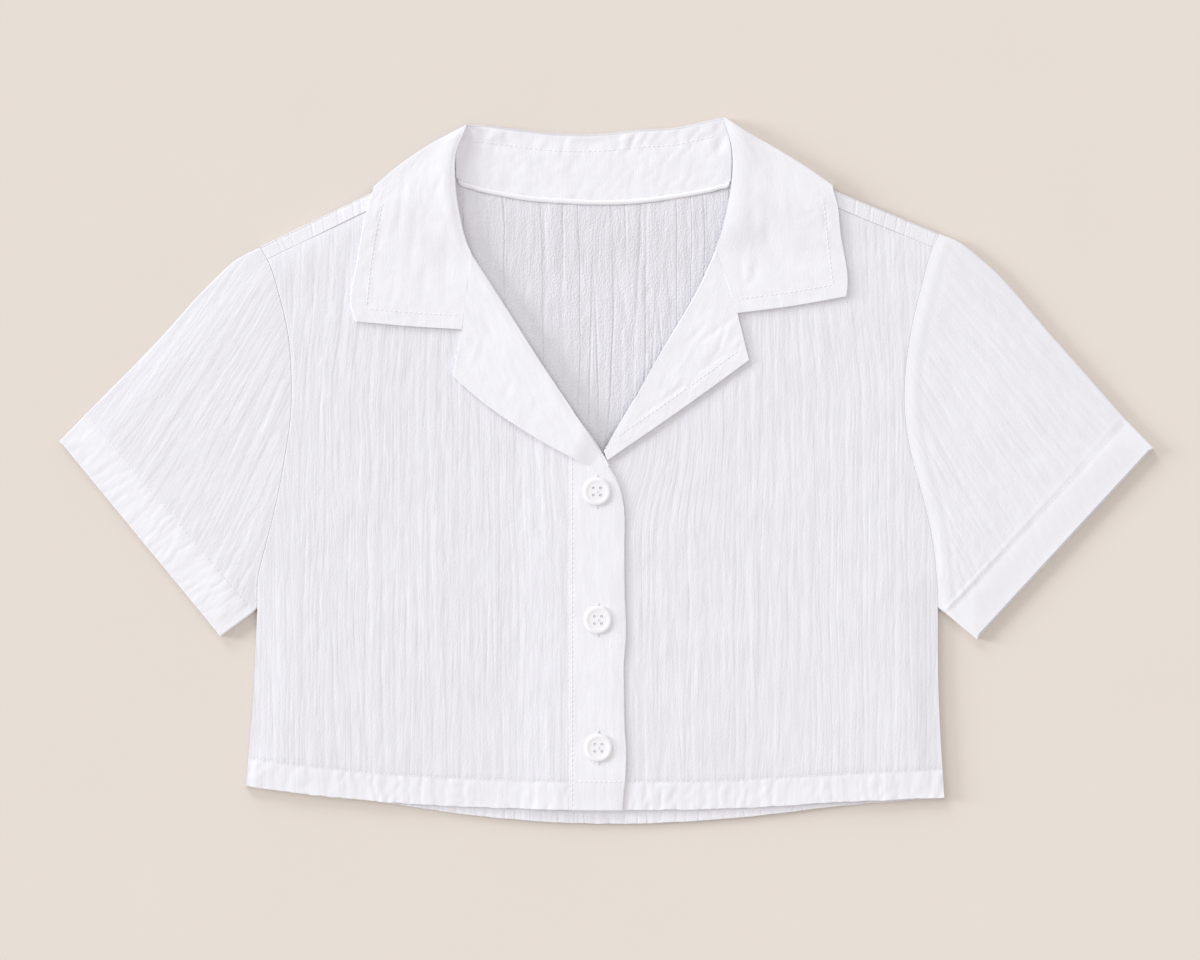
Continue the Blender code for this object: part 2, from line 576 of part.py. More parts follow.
def make_sleeve(side, material):
    """A flattened tube. Its ring goes across the upper layer, round the underarm, back below and round the top."""
    line_shares = np.linspace(0, 1, 7)
    seam_points = armhole_line(side, 3)
    seam_points[:, 0] -= side.inward * SEAM
    count = len(seam_points) - 1
    lower_count = count // 3
    shares = np.linspace(0, 1, count + 1)
    band_top, band_under, edge_top, edge_under = (np.array(point) for point in side.band)
    across = (band_under - band_top) / np.linalg.norm(band_under - band_top)
    edge_across = (edge_under - edge_top) / np.linalg.norm(edge_under - edge_top)
    stitched = np.array([band_top + across * FOLD_RADIUS, band_under - across * FOLD_RADIUS])
    edge = np.array([edge_top + edge_across * FOLD_RADIUS, edge_under - edge_across * FOLD_RADIUS])
    stitched_points = along(stitched, shares)
    edge_points = along(edge, shares)
    inside_point = 0.5 * (band_top + band_under)
    top_fold = inset(along(side.sleeve_top, line_shares), FOLD_RADIUS, inside_point)
    top_fold[0] = seam_points[0]
    top_fold[-1] = stitched_points[0]
    under_fold = np.linspace(seam_points[-1], stitched_points[-1], len(line_shares))
    plan = patch(seam_points, stitched_points, top_fold, under_fold)
    strip_row = 0.45 * plan[:, 0] + 0.55 * plan[:, 1]
    groove_row = stitched_points + 0.06 * (edge_points - stitched_points)
    plan = np.concatenate((plan[:, :1], strip_row[:, None], plan[:, 1:], groove_row[:, None],
                           edge_points[:, None]), axis=1)
    rows = plan.shape[1]
    outward_edge = edge_points - stitched_points
    outward_edge /= np.linalg.norm(outward_edge, axis=1)[:, None]

    columns = np.arange(count + 1)
    strength = np.ones(rows)
    strength[:2] = (0.0, 0.35)
    strength[-3:] = (0.1, 0.2, 0.2)
    ribs = crinkle(columns[:, None], 22.0 * np.arange(rows)[None], 3.1) * strength
    ribs[[0, -1]] = 0
    raised = np.zeros(rows)
    raised[:2] = side.strip_raise
    raised[-2:] = SLEEVE_HEM_RAISE

    upper = with_height(plan, FRONT_TOP + ribs + raised)
    upper_inner = with_height(plan, np.full(plan.shape[:2], FRONT_UNDER))
    upper[:, -1, :2] -= outward_edge * side.peek
    upper_inner[:, -1, :2] -= outward_edge * side.peek
    lower_columns = np.linspace(count, 0, lower_count + 1)
    low = np.stack([np.interp(lower_columns, columns, plan[:, j, k]) for j in range(rows) for k in range(2)])
    low = low.reshape(rows, 2, -1).transpose(2, 0, 1)
    lower = with_height(low, np.zeros(low.shape[:2]))
    lower_inner = with_height(low, np.full(low.shape[:2], CLOTH))

    def fold(end, neighbour, radius, angles):
        outward = plan[end] - plan[neighbour]
        outward /= np.linalg.norm(outward, axis=1)[:, None]
        turned = []
        for angle in np.radians(angles):
            flat = plan[end] + outward * radius * math.sin(angle)
            height = FOLD_RADIUS + radius * math.cos(angle)
            turned.append(with_height(flat, np.full(rows, height)))
        return np.array(turned)

    outer = np.concatenate((upper, fold(-1, -2, FOLD_RADIUS, TURN_STEPS), lower,
                            fold(0, 1, FOLD_RADIUS, TURN_STEPS[::-1])))
    inner = np.concatenate((upper_inner, fold(-1, -2, FOLD_RADIUS - CLOTH, TURN_STEPS), lower_inner,
                            fold(0, 1, FOLD_RADIUS - CLOTH, TURN_STEPS[::-1])))
    kept = every(len(outer), 3, (count, len(outer)))
    return add_wall("sleeve_" + side.name, outer, inner, material, kept, ring=True)


# Collar and lapels

def hooked_columns(plan, top, low, hook_from, hook_to):
    """Columns that turn down round the last column of a plan and back under it, for rows hook_from to hook_to."""
    outward = plan[:, -1] - plan[:, -2]
    outward /= np.linalg.norm(outward, axis=1)[:, None]
    radius = (top - low) / 2
    centre = (top + low) / 2
    inner_radius = radius - COLLAR_CLOTH
    fine = []
    plain = []
    for angle in np.radians(HOOK_STEPS):
        for reach, columns in ((radius, fine), (inner_radius, plain)):
            flat = plan[:, -1] + outward * (reach * math.sin(angle))[:, None]
            columns.append(with_height(flat, centre + reach * math.cos(angle)))
    for reach, columns in ((radius, fine), (inner_radius, plain)):
        columns.append(with_height(plan[:, -1] - outward * HOOK_RETURN, centre - reach))
    count = len(fine)
    present = np.zeros((len(plan) - 1, count), bool)
    present[hook_from:hook_to] = True
    return np.stack(fine, axis=1), np.stack(plain, axis=1), present


def make_lapel(side, material):
    """A lapel: rolled out along the neck opening, joined to the collar along the gorge."""
    lapel = side.lapel
    rows = np.linspace(0, 1, 13)
    across = np.linspace(0, 1, 7)
    tip = np.array(lapel.lower[0])
    gorge = np.array(lapel.gorge, float)
    gorge[:, 0] += side.inward * SEAM
    first = along(np.concatenate(([tip], gorge)), across, smooth=False)
    lower = along(lapel.lower, rows)
    roll = along(lapel.roll, rows)
    roll = inset(roll, HOOK_RADIUS, lower[len(lower) // 2])
    first[-1] = roll[0] = gorge[1] + (roll[1] - roll[0]) * 0.02
    end = along(lapel.end[::-1], across)
    end[0] = lower[-1]
    end[-1] = roll[-1]
    plan = patch(lower, roll, first, end)
    x, y = plan[..., 0], plan[..., 1]
    under = TURNED_UNDER + fall_lift(x, y)
    low = FRONT_UNDER + fall_lift(x[:, -1], y[:, -1])
    if side is RIGHT:
        under = under + overlap_rise(x)
        low = low + overlap_rise(x[:, -1])
    top = under + COLLAR_CLOTH
    fine = with_height(plan, top)
    plain = with_height(plan, under)
    hook_fine, hook_plain, hooked = hooked_columns(plan, top[:, -1], low, 1, len(rows) - 1)
    present = np.concatenate((np.ones((len(rows) - 1, len(across) - 1), bool), hooked), axis=1)
    return add_wall("lapel_" + side.name, np.concatenate((fine, hook_fine), axis=1),
                    np.concatenate((plain, hook_plain), axis=1), material, every(len(fine), 1), present)


def make_leaf(side, material):
    """A front end of the collar: the leaf, its turn over the shoulder, and the start of the fall beneath."""
    leaf = side.leaf
    front_rows = np.linspace(0, 1, 13)
    across = np.linspace(0, 1, 9)
    inner = along(leaf.inner, front_rows)
    gorge_end = np.array(leaf.inner[1])
    at_gorge = int(np.argmin(np.abs(inner[:, 1] - leaf.gorge_y)))
    inner[:at_gorge + 1] = along((leaf.inner[0], gorge_end), np.linspace(0, 1, at_gorge + 1))
    amounts = np.where(np.arange(len(inner)) > at_gorge, HOOK_RADIUS, SEAM)
    inner_edge = inset(inner, amounts, front_middle(side))
    wrap = along(leaf.wrap, across)
    turn_line = inset(wrap, WRAP_RADIUS, front_middle(side))
    inner_edge[-1] = turn_line[-1]
    outer = along(leaf.outer, front_rows)
    outer[-1] = turn_line[0]
    bottom = along(leaf.bottom, across)
    bottom[0] = outer[0]
    bottom[-1] = inner_edge[0]
    plan = patch(outer, inner_edge, bottom, turn_line)
    x, y = plan[..., 0], plan[..., 1]
    under = TURNED_UNDER + fall_lift(x, y)
    top = under + COLLAR_CLOTH
    fine = with_height(plan, top)
    plain = with_height(plan, under)
    low = FRONT_UNDER + fall_lift(x[:, -1], y[:, -1])
    hook_fine, hook_plain, hooked = hooked_columns(plan, top[:, -1], low, at_gorge + 1, len(front_rows) - 2)
    fine = np.concatenate((fine, hook_fine), axis=1)
    plain = np.concatenate((plain, hook_plain), axis=1)

    outward = wrap - turn_line
    outward /= np.linalg.norm(outward, axis=1)[:, None]
    radius = top[-1] / 2
    turned_fine = []
    turned_plain = []
    for angle in np.radians(TURN_STEPS):
        for reach, rows in ((radius, turned_fine), (radius - COLLAR_CLOTH, turned_plain)):
            flat = turn_line + outward * (reach * math.sin(angle))[:, None]
            rows.append(with_height(flat, radius + reach * math.cos(angle)))
    join_top = float(np.interp(leaf.join_x, *np.array(COLLAR_TOP).T)) - COLLAR_ROLL_RADIUS
    join = np.column_stack((np.full(len(across), leaf.join_x),
                            np.linspace(float(fall_edge(leaf.join_x)), join_top, len(across))))
    for share in (0.0, 0.35, 0.7, 1.0):
        flat = (1 - share) * turn_line + share * join
        flat[0, 1] = (1 - share) * turn_line[0, 1] + share * join[0, 1]
        turned_fine.append(with_height(flat, np.zeros(len(across))))
        turned_plain.append(with_height(flat, np.full(len(across), COLLAR_CLOTH)))
    filler = np.zeros((len(turned_fine), hook_fine.shape[1], 3))
    turned_fine = np.concatenate((np.array(turned_fine), filler), axis=1)
    turned_plain = np.concatenate((np.array(turned_plain), filler), axis=1)
    columns = fine.shape[1] - 1
    present = np.zeros((len(fine) + len(turned_fine) - 1, columns), bool)
    present[:, :len(across) - 1] = True
    present[:len(hooked), len(across) - 1:] = hooked
    fine = np.concatenate((fine, turned_fine))
    plain = np.concatenate((plain, turned_plain))
    return add_wall("collar_leaf_" + side.name, fine, plain, material, every(len(fine), 1), present)


def roll_edge_x(side, y):
    """x of a leaf's roll at the given heights above the gorge."""
    return through([(row[1], row[0]) for row in side.leaf.inner[1:]], y)


def make_collar_back(material):
    """The collar round the back of the neck: the stand, the roll at its top and the fall under the back."""
    shares = np.linspace(0, 1, 23)
    roll_x = np.linspace(RIGHT.leaf.join_x + 2 * SEAM, LEFT.leaf.join_x - 2 * SEAM, len(shares))
    top_y = through(COLLAR_TOP, roll_x) - COLLAR_ROLL_RADIUS
    outside = []
    inside = []
    for share in (0.0, 0.5, 1.0):
        y = (1 - share) * fall_edge(roll_x) + share * top_y
        outside.append(np.column_stack((roll_x, y, np.zeros(len(shares)))))
        inside.append(np.column_stack((roll_x, y, np.full(len(shares), COLLAR_CLOTH))))
    for angle in np.radians(TURN_STEPS):
        for radius, rows in ((COLLAR_ROLL_RADIUS, outside), (COLLAR_ROLL_RADIUS - COLLAR_CLOTH, inside)):
            rows.append(np.column_stack((roll_x, top_y + radius * math.sin(angle),
                                         np.full(len(shares), COLLAR_ROLL_RADIUS - radius * math.cos(angle)))))
    for share in (0.0, 0.2, 0.45, 0.7, 0.9, 1.0):
        level = (1 - share) * top_y[[0, -1]] + share * (through(NECK_SEAM, roll_x[[0, -1]]) + 2.0)
        ends = (float(roll_edge_x(RIGHT, level[0])) + 2 * SEAM, float(roll_edge_x(LEFT, level[1])) - 2 * SEAM)
        if share == 0.0:
            ends = (roll_x[0], roll_x[-1])
        x = np.linspace(ends[0], ends[1], len(shares))
        neck = through(NECK_SEAM, x) + 3 * SEAM
        y = (1 - share) * (through(COLLAR_TOP, x) - COLLAR_ROLL_RADIUS) + share * neck
        height = (1 - share) * 2 * COLLAR_ROLL_RADIUS + share * (FALL_LIFT + COLLAR_CLOTH)
        waves = 0.22 * math.sin(math.pi * share) * np.sin(3.3 * np.arange(len(shares)))
        outside.append(np.column_stack((x, y, height + waves)))
        inside.append(np.column_stack((x, y, np.full(len(x), height - COLLAR_CLOTH))))
    return add_wall("collar_back", np.stack(outside, axis=1), np.stack(inside, axis=1), material,
                    every(len(shares), 2))


def make_neck_tape(material):
    """Piped binding over the back neck seam."""
    x = np.linspace(*TAPE_ENDS, 25)
    y = through(NECK_SEAM, x)
    base = fall_lift(x, y) + COLLAR_CLOTH + GAP
    lines = [np.column_stack((x, y + across, base + up)) for across, up in TAPE_SECTION]
    bm = bmesh.new()
    rings = [[bm.verts.new(line[i] * MM) for line in lines] for i in range(len(x))]
    for one, two in zip(rings, rings[1:]):
        for k in range(len(lines)):
            after = (k + 1) % len(lines)
            bm.faces.new((one[k], one[after], two[after], two[k]))
    bm.faces.new(rings[0])
    bm.faces.new(rings[-1][::-1])
    return add_object("neck_tape", bm, material)


def make_placket(material):
    """The button band, its top tucked under the right lapel."""
    shares, heights = np.array(PLACKET_SECTION).T
    start = PLACKET_SEAM_X + SEAM
    columns = start + shares * (PLACKET_EDGE_X - start)
    top_y = np.interp(columns, *np.array(PLACKET_TOP_EDGE).T)
    hem = through(FRONT_HEM, columns) - PLACKET_DROP
    straight = np.linspace(HEM_DEPTH + 2 * HEM_GROOVE, PLACKET_STRAIGHT, 9)
    levels = hem[:, None] + np.concatenate(([0.0, HEM_DEPTH], straight))[None]
    y = np.concatenate((levels, 0.5 * (levels[:, -1:] + top_y[:, None]), top_y[:, None]), axis=1)
    wander = through(PLACKET_EDGE, y[-1]) - PLACKET_EDGE_X
    x = columns[:, None] + shares[:, None] ** 2 * wander[None]
    plan = np.stack((x, y), axis=-1)
    fine = with_height(plan, PLACKET_UNDER + heights[:, None])
    return add_wall("placket", fine, with_height(plan, PLACKET_UNDER), material, every(len(columns), 2))


def make_button(button, material):
    """A four-hole button: dished middle inside a round rim."""
    bm = bmesh.new()
    rings = []
    base = PLACKET_TOP + GAP
    turn = [2 * math.pi * k / BUTTON_SEGMENTS for k in range(BUTTON_SEGMENTS)]
    for ring_radius, height in BUTTON_PROFILE:
        rings.append([bm.verts.new(((button.x + ring_radius * math.cos(a)) * MM,
                                    (button.y + ring_radius * math.sin(a)) * MM, (base + height) * MM))
                      for a in turn])
    for one, two in zip(rings, rings[1:]):
        for k in range(BUTTON_SEGMENTS):
            after = (k + 1) % BUTTON_SEGMENTS
            bm.faces.new((one[k], one[after], two[after], two[k]))
    bm.faces.new(rings[0][::-1])
    bm.faces.new(rings[-1])
    obj = add_object(button.node, bm, material)
    for polygon in obj.data.polygons:
        polygon.use_smooth = True
    for k in range(4):
        angle = math.pi / 4 + k * math.pi / 2
        cutter = add_hole_cutter(button, angle, base)
        cut = obj.modifiers.new("hole", "BOOLEAN")
        cut.operation = "DIFFERENCE"
        cut.object = cutter
    return obj


def add_hole_cutter(button, angle, base):
    """A hidden bar that cuts one hole."""
    bm = bmesh.new()
    bmesh.ops.create_cone(bm, cap_ends=True, segments=8, radius1=BUTTON_HOLE_RADIUS * MM,
                          radius2=BUTTON_HOLE_RADIUS * MM, depth=3 * BUTTON_THICK * MM)
    x = button.x + BUTTON_HOLE_OFFSET * math.cos(angle)
    y = button.y + BUTTON_HOLE_OFFSET * math.sin(angle)
    centre = (x, y, base)
    bmesh.ops.translate(bm, verts=bm.verts, vec=[value * MM for value in centre])
    mesh = bpy.data.meshes.new("cutter_" + button.node)
    bm.to_mesh(mesh)
    bm.free()
    cutter = bpy.data.objects.new(mesh.name, mesh)
    bpy.context.scene.collection.objects.link(cutter)
    cutter.hide_render = True
    cutter.display_type = "WIRE"
    return cutter


def main():
    for obj in list(bpy.data.objects):
        bpy.data.objects.remove(obj)
    cloth = cloth_material()
    plastic = button_material()
    make_back(cloth)
    for side in (RIGHT, LEFT):
        make_front(side, cloth)
        make_sleeve(side, cloth)
        make_lapel(side, cloth)
        make_leaf(side, cloth)
    make_collar_back(cloth)
    make_neck_tape(cloth)
    make_placket(cloth)
    for button in BUTTONS:
        make_button(button, plastic)


main()
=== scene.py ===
"""Looks of the crop top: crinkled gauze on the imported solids, sewing, buttons, floor, light and camera.

Lengths in the tables are millimetres, as in the part. The wearer's right is at -X.
"""

import math
from collections import namedtuple

import bmesh
import bpy
import numpy as np
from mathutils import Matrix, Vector
from mathutils.bvhtree import BVHTree


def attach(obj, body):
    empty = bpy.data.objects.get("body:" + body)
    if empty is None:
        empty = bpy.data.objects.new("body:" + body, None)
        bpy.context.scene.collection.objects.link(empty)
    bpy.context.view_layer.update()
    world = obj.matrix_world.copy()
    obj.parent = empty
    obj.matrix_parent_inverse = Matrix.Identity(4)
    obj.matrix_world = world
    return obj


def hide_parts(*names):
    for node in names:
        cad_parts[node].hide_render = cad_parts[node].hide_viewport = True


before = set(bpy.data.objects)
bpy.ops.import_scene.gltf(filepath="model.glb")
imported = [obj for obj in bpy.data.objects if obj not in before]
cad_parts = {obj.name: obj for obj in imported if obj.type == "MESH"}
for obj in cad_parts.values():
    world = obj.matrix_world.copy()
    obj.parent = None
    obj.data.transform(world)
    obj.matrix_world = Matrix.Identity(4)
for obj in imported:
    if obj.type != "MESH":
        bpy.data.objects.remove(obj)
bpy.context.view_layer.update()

MM = 0.001

# The part's layers
CLOTH = 1.0
COLLAR_CLOTH = 1.2
PLACKET_CLOTH = 1.4
GAP = 0.35
SEAM = 0.02              # the part's 0.2 closed up, as sewing closes it
RIB_HEIGHT = 0.45
FRONT_UNDER = CLOTH + GAP
FRONT_TOP = FRONT_UNDER + CLOTH
OVERLAP_RISE = CLOTH + GAP
PLACKET_UNDER = FRONT_UNDER + OVERLAP_RISE
PLACKET_TOP = PLACKET_UNDER + PLACKET_CLOTH
TURNED_UNDER = FRONT_TOP + RIB_HEIGHT + GAP

# The part's collar, hems, folds and overlap
FALL_LIFT = COLLAR_CLOTH + GAP
FALL_EDGE_Y = 167.5
FALL_EDGE_RISE = 16.5
FALL_HALF_WIDTH = 150.0
LIFT_RUN = 45.0
HEM_DEPTH = 18.5
HEM_GROOVE = 1.5
HEM_RAISE = 0.25
HEM_CURL = 1.0           # how far the back hem stands off the surface
SIDE_LIP = FRONT_TOP
BACK_SIDE_INSET = 1.9
NOTCH_DROP = 0.6
FOLD_RADIUS = FRONT_TOP / 2
SHOULDER_STRIP = 10.5
EDGE_EASE = 90.0
HOOK_WIDTH = 0.55
HOOK_RETURN = 1.2
HOOK_CLEAR = 0.3         # from a front's underside to the end of a hook
NECK_INSET = 4.5
WRAP_WIDTH = 0.9
FOLD_WIDTH = 0.35        # a pressed fold's reach beyond the flat layers
LIP_WIDTH = 0.45
COLLAR_ROLL_RADIUS = 1.7
TAPE_ENDS = (-96.4, 80.0)
TAPE_WIDTH = 3.2
TAPE_THICK = 0.8
PLACKET_SEAM_X = -24.6
UNDER_CORNER = (-23.6, 2.0)
OVERLAP_RUN = (-62.0, -28.0)
PLACKET_EDGE_X = 12.0
PLACKET_DROP = 0.3
PLACKET_STRAIGHT = 178.0
# y, x down its free edge; x, y of its top edge; share of its width, height over its underside
PLACKET_EDGE = ((-220.4, 10.7), (-203.0, 12.0), (-183.0, 12.7), (-162.0, 12.0), (-115.0, 12.0), (-99.6, 13.0),
                (-84.0, 12.0), (-34.0, 12.0))
PLACKET_TOP_EDGE = ((-24.4, 40.5), (-8.0, 18.0), (-3.8, 12.0), (0.3, 5.9), (2.9, 1.6), (6.4, -4.3),
                    (9.7, -12.6), (11.3, -22.7), (12.0, -34.0))
PLACKET_SECTION = ((0.0, 1.45), (0.05, 1.38), (0.2, 1.4), (0.42, 1.4), (0.6, 1.4), (0.8, 1.4), (0.9, 1.3),
                   (1.0, 1.1))

# The fine surface
COLUMN_STEP = 1.1        # between grid lines across the crinkles
ROW_STEP = 2.4           # and along them
EDGE_PLACES = (0.0, 0.12, 0.35, 0.7)   # grid lines that round an edge, from the edge
TURN_ANGLES = np.arange(18.0, 180.0, 18.0)

Button = namedtuple("Button", "node x y")
BUTTONS = (
    Button("button_top", -6.2, -13.5),
    Button("button_middle", -5.5, -96.7),
    Button("button_bottom", -5.2, -179.6),
)

# Tables of two columns are x, y unless they say otherwise
NECK_SEAM = ((-104.0, 203.8), (-100.5, 195.0), (-96.5, 188.6), (-86.8, 184.2), (-70.0, 180.2), (-54.3, 177.4),
             (-21.8, 174.7), (0.3, 174.1), (22.0, 175.2), (43.2, 177.9), (60.0, 180.8), (73.0, 184.0),
             (80.9, 187.6), (84.5, 195.0), (88.0, 206.4))
COLLAR_TOP = ((-91.3, 224.8), (-82.0, 224.6), (-56.2, 221.5), (-30.2, 218.9), (-4.2, 218.9), (21.8, 221.5),
              (47.8, 223.4), (60.8, 226.4), (76.4, 229.6))
FRONT_HEM = ((-234.3, -204.9), (-160.2, -213.7), (-82.2, -218.6), (-28.9, -219.9), (11.0, -220.2),
             (73.8, -219.5), (151.8, -215.3), (219.7, -212.1))
BACK_HEM = ((-234.3, -204.9), (-149.8, -214.7), (-82.2, -224.4), (-4.2, -229.3), (73.8, -226.4),
            (151.8, -217.9), (219.7, -212.1))

Side = namedtuple("Side", "name inward notch_y seam_y fold_y hem_y neck_point edge armhole sleeve_top band"
                          " peek seam_radius fan leaf lapel")
Leaf = namedtuple("Leaf", "outer bottom inner gorge_y wrap join_x")
Lapel = namedtuple("Lapel", "gorge roll lower end")

RIGHT = Side(
    name="right", inward=1.0, notch_y=-90.2, seam_y=137.1, fold_y=145.4, hem_y=-204.9,
    neck_point=(-104.0, 203.8),
    # y, x down the side of the body
    edge=((-205.0, -234.3), (-175.0, -231.7), (-149.0, -229.6), (-123.0, -228.4), (-90.2, -226.9)),
    # y, x up the armhole seam
    armhole=((-90.2, -226.9), (-70.0, -226.2), (-46.5, -220.6), (-20.5, -214.2), (7.0, -209.0),
             (33.0, -205.1), (59.0, -204.4), (87.5, -206.4), (113.5, -212.2), (137.1, -220.2),
             (145.4, -225.0)),
    sleeve_top=((-225.0, 145.4), (-240.2, 137.4), (-254.5, 124.6), (-290.9, 85.0), (-337.7, 37.2)),
    # x, y of the sleeve's band: its stitched line, then its edge, each from the top fold to the underarm
    band=((-337.7, 37.2), (-229.3, -92.0), (-355.2, 19.3), (-250.6, -107.7)),
    peek=0.4, seam_radius=0.42, fan=(-15.9, 450.2),
    leaf=Leaf(
        outer=((-162.6, 96.6), (-165.0, 103.2), (-161.5, 137.0), (-156.3, 165.6), (-151.3, 184.6)),
        bottom=((-162.6, 96.6), (-128.0, 93.6), (-93.4, 91.5)),
        inner=((-93.4, 91.5), (-87.3, 140.9), (-95.2, 167.5), (-98.0, 191.6), (-97.5, 206.0), (-91.3, 224.8)),
        gorge_y=140.9,
        wrap=((-151.3, 184.6), (-138.8, 195.5), (-116.7, 211.1), (-91.3, 224.8)),
        join_x=-88.6),
    lapel=Lapel(
        gorge=((-93.3, 91.5), (-87.3, 140.9)),
        roll=((-87.3, 140.9), (-69.2, 112.9), (-43.2, 72.0), (-3.8, 12.2), (2.3, 1.8)),
        lower=((-99.8, 61.6), (-92.0, 54.4), (-84.8, 48.2), (-45.8, 21.3), (-4.2, -0.8)),
        end=((2.3, 1.8), (-4.2, -0.8))),
)
LEFT = Side(
    name="left", inward=-1.0, notch_y=-89.9, seam_y=145.1, fold_y=153.9, hem_y=-212.1,
    neck_point=(88.0, 206.4),
    edge=((-212.1, 219.7), (-188.0, 218.1), (-149.0, 216.1), (-123.0, 215.5), (-89.9, 215.5)),
    armhole=((-89.9, 215.5), (-71.0, 214.4), (-39.8, 210.6), (-16.4, 205.1), (7.0, 198.6), (38.2, 193.6),
             (64.2, 194.0), (95.4, 198.6), (121.0, 204.8), (145.1, 211.9), (153.9, 216.0)),
    sleeve_top=((216.0, 153.9), (228.0, 149.0), (243.4, 137.4), (291.5, 85.0), (337.4, 33.0)),
    band=((337.4, 33.0), (221.0, -93.2), (355.2, 14.8), (240.5, -109.4)),
    peek=1.3, seam_radius=0.14, fan=(21.8, 345.0),
    leaf=Leaf(
        outer=((155.6, 113.0), (156.3, 118.0), (151.8, 155.2), (150.0, 172.0), (147.2, 185.0)),
        bottom=((155.6, 113.0), (122.0, 107.0), (84.9, 102.1)),
        inner=((84.9, 102.1), (70.5, 143.5), (79.3, 177.0), (81.6, 196.8), (80.7, 212.0), (76.4, 229.6)),
        gorge_y=143.5,
        wrap=((147.2, 185.0), (132.3, 195.6), (106.9, 211.1), (92.6, 219.2), (76.4, 229.6)),
        join_x=74.0),
    lapel=Lapel(
        gorge=((84.9, 102.1), (70.5, 143.5)),
        roll=((70.5, 143.5), (60.8, 121.8), (35.6, 78.2), (-1.9, 13.1)),
        lower=((92.6, 71.6), (47.0, 38.6), (0.9, 6.8)),
        end=((-1.9, 13.1), (0.9, 6.8))),
)


# Curves and patches, as in the part

def ease(t):
    """Smooth step from 0 to 1."""
    t = np.clip(t, 0.0, 1.0)
    return t * t * (3.0 - 2.0 * t)


def bell(distance, width):
    """1 where the distance is 0, and smoothly down to nothing over about twice the width on both sides."""
    return np.exp(-(distance / width) ** 2)


def through(rows, at):
    """Second column of a table at the given values of its first, on a smooth curve through the rows."""
    known, values = np.array(rows, float).T
    slopes = np.gradient(values, known)
    at = np.clip(np.asarray(at, float), known[0], known[-1])
    k = np.clip(np.searchsorted(known, at, side="right") - 1, 0, len(known) - 2)
    span = known[k + 1] - known[k]
    t = (at - known[k]) / span
    start = (1 + 2 * t) * (1 - t) ** 2 * values[k] + t * (1 - t) ** 2 * span * slopes[k]
    end = t * t * (3 - 2 * t) * values[k + 1] + t * t * (t - 1) * span * slopes[k + 1]
    return start + end


def path_length(points):
    points = np.asarray(points, float)
    return float(np.linalg.norm(np.diff(points, axis=0), axis=1).sum())


def travelled(points):
    """How far along a path each of its points is."""
    return np.concatenate(([0.0], np.cumsum(np.linalg.norm(np.diff(points, axis=0), axis=1))))


def along(points, shares, smooth=True):
    """Points at the given shares of a path's length."""
    points = np.array(points, float)
    lengths = travelled(points)
    at = np.asarray(shares, float) * lengths[-1]
    if smooth and len(points) > 2:
        columns = [through(np.column_stack((lengths, column)), at) for column in points.T]
    else:
        columns = [np.interp(at, lengths, column) for column in points.T]
    return np.column_stack(columns)


def directions(steps):
    """Steps of length 1 that go the same ways."""
    return steps / np.linalg.norm(steps, axis=1)[:, None]


def inset(path, amount, towards):
    """A path moved sideways by an amount at each point, to the side where a point lies."""
    step = np.gradient(path, axis=0)
    normal = directions(np.column_stack((-step[:, 1], step[:, 0])))
    middle = len(path) // 2
    if np.dot(normal[middle], np.asarray(towards) - path[middle]) < 0:
        normal = -normal
    return path + normal * np.broadcast_to(amount, len(path))[:, None]


def patch(start, finish, first, last, i_share, j_share):
    """Surface between four sides: start and finish run along i, first and last run along j."""
    i_share = i_share[:, None, None]
    j_share = j_share[None, :, None]
    across = (1 - j_share) * start[:, None] + j_share * finish[:, None]
    down = (1 - i_share) * first[None] + i_share * last[None]
    corners = ((1 - i_share) * ((1 - j_share) * start[0] + j_share * finish[0])
               + i_share * ((1 - j_share) * start[-1] + j_share * finish[-1]))
    return across + down - corners


def with_height(plan, height):
    return np.concatenate((plan, np.broadcast_to(height, plan.shape[:-1])[..., None]), axis=-1)


def spaced(length, step, near_start=True, near_end=True):
    """Shares of a length at about a step, with closer ones at the ends that are rounded."""
    start = list(EDGE_PLACES) if near_start else [0.0]
    end = [length - place for place in EDGE_PLACES][::-1] if near_end else [length]
    count = max(2, int(round((end[0] - start[-1]) / step)))
    middle = np.linspace(start[-1], end[0], count + 1)[1:-1]
    return np.concatenate((start, middle, end)) / length


def armhole_x(side, y):
    return through(side.armhole, y)


def fall_edge(x):
    return FALL_EDGE_Y + FALL_EDGE_RISE * (np.asarray(x) / FALL_HALF_WIDTH) ** 2


def fall_lift(x, y):
    """How far the cloth is lifted by the collar's fall under it."""
    return FALL_LIFT * ease((y - fall_edge(x) + LIFT_RUN) / LIFT_RUN)


def overlap_rise(x):
    start, end = OVERLAP_RUN
    return OVERLAP_RISE * ease((np.asarray(x) - start) / (end - start))


def front_middle(side):
    return -side.inward * 130.0, 0.0


# Loft: the layers of a garment that lies loosely are held apart by air

LOFT_EDGE = 1.7
LOFT_MIDDLE = 2.7
LOFT_RUN = 24.0
LOFT_WAVER = 0.35        # how uneven it is away from the outline


def garment_outline():
    """Points round the upper layers: up the right side, round the collar, down the left and along the hem."""
    right, left = ([*((x, y) for y, x in side.edge), side.band[3], side.band[2], *side.sleeve_top[3::-1],
                    side.leaf.wrap[0]] for side in (RIGHT, LEFT))
    return np.array([*right, *COLLAR_TOP, *left[::-1], *FRONT_HEM[-2::-1]])


def loft(x, y):
    """How far the upper layers are held off the ones below: less at the outline, uneven elsewhere."""
    plan = np.stack(np.broadcast_arrays(np.asarray(x, float), np.asarray(y, float)), axis=-1)
    distance, _ = nearest(plan, OUTLINE)
    rise = LOFT_EDGE + (LOFT_MIDDLE - LOFT_EDGE) * ease(distance / LOFT_RUN)
    return rise + LOFT_WAVER * ease(distance / 15.0) * soft(x, y, 52.0, 40)


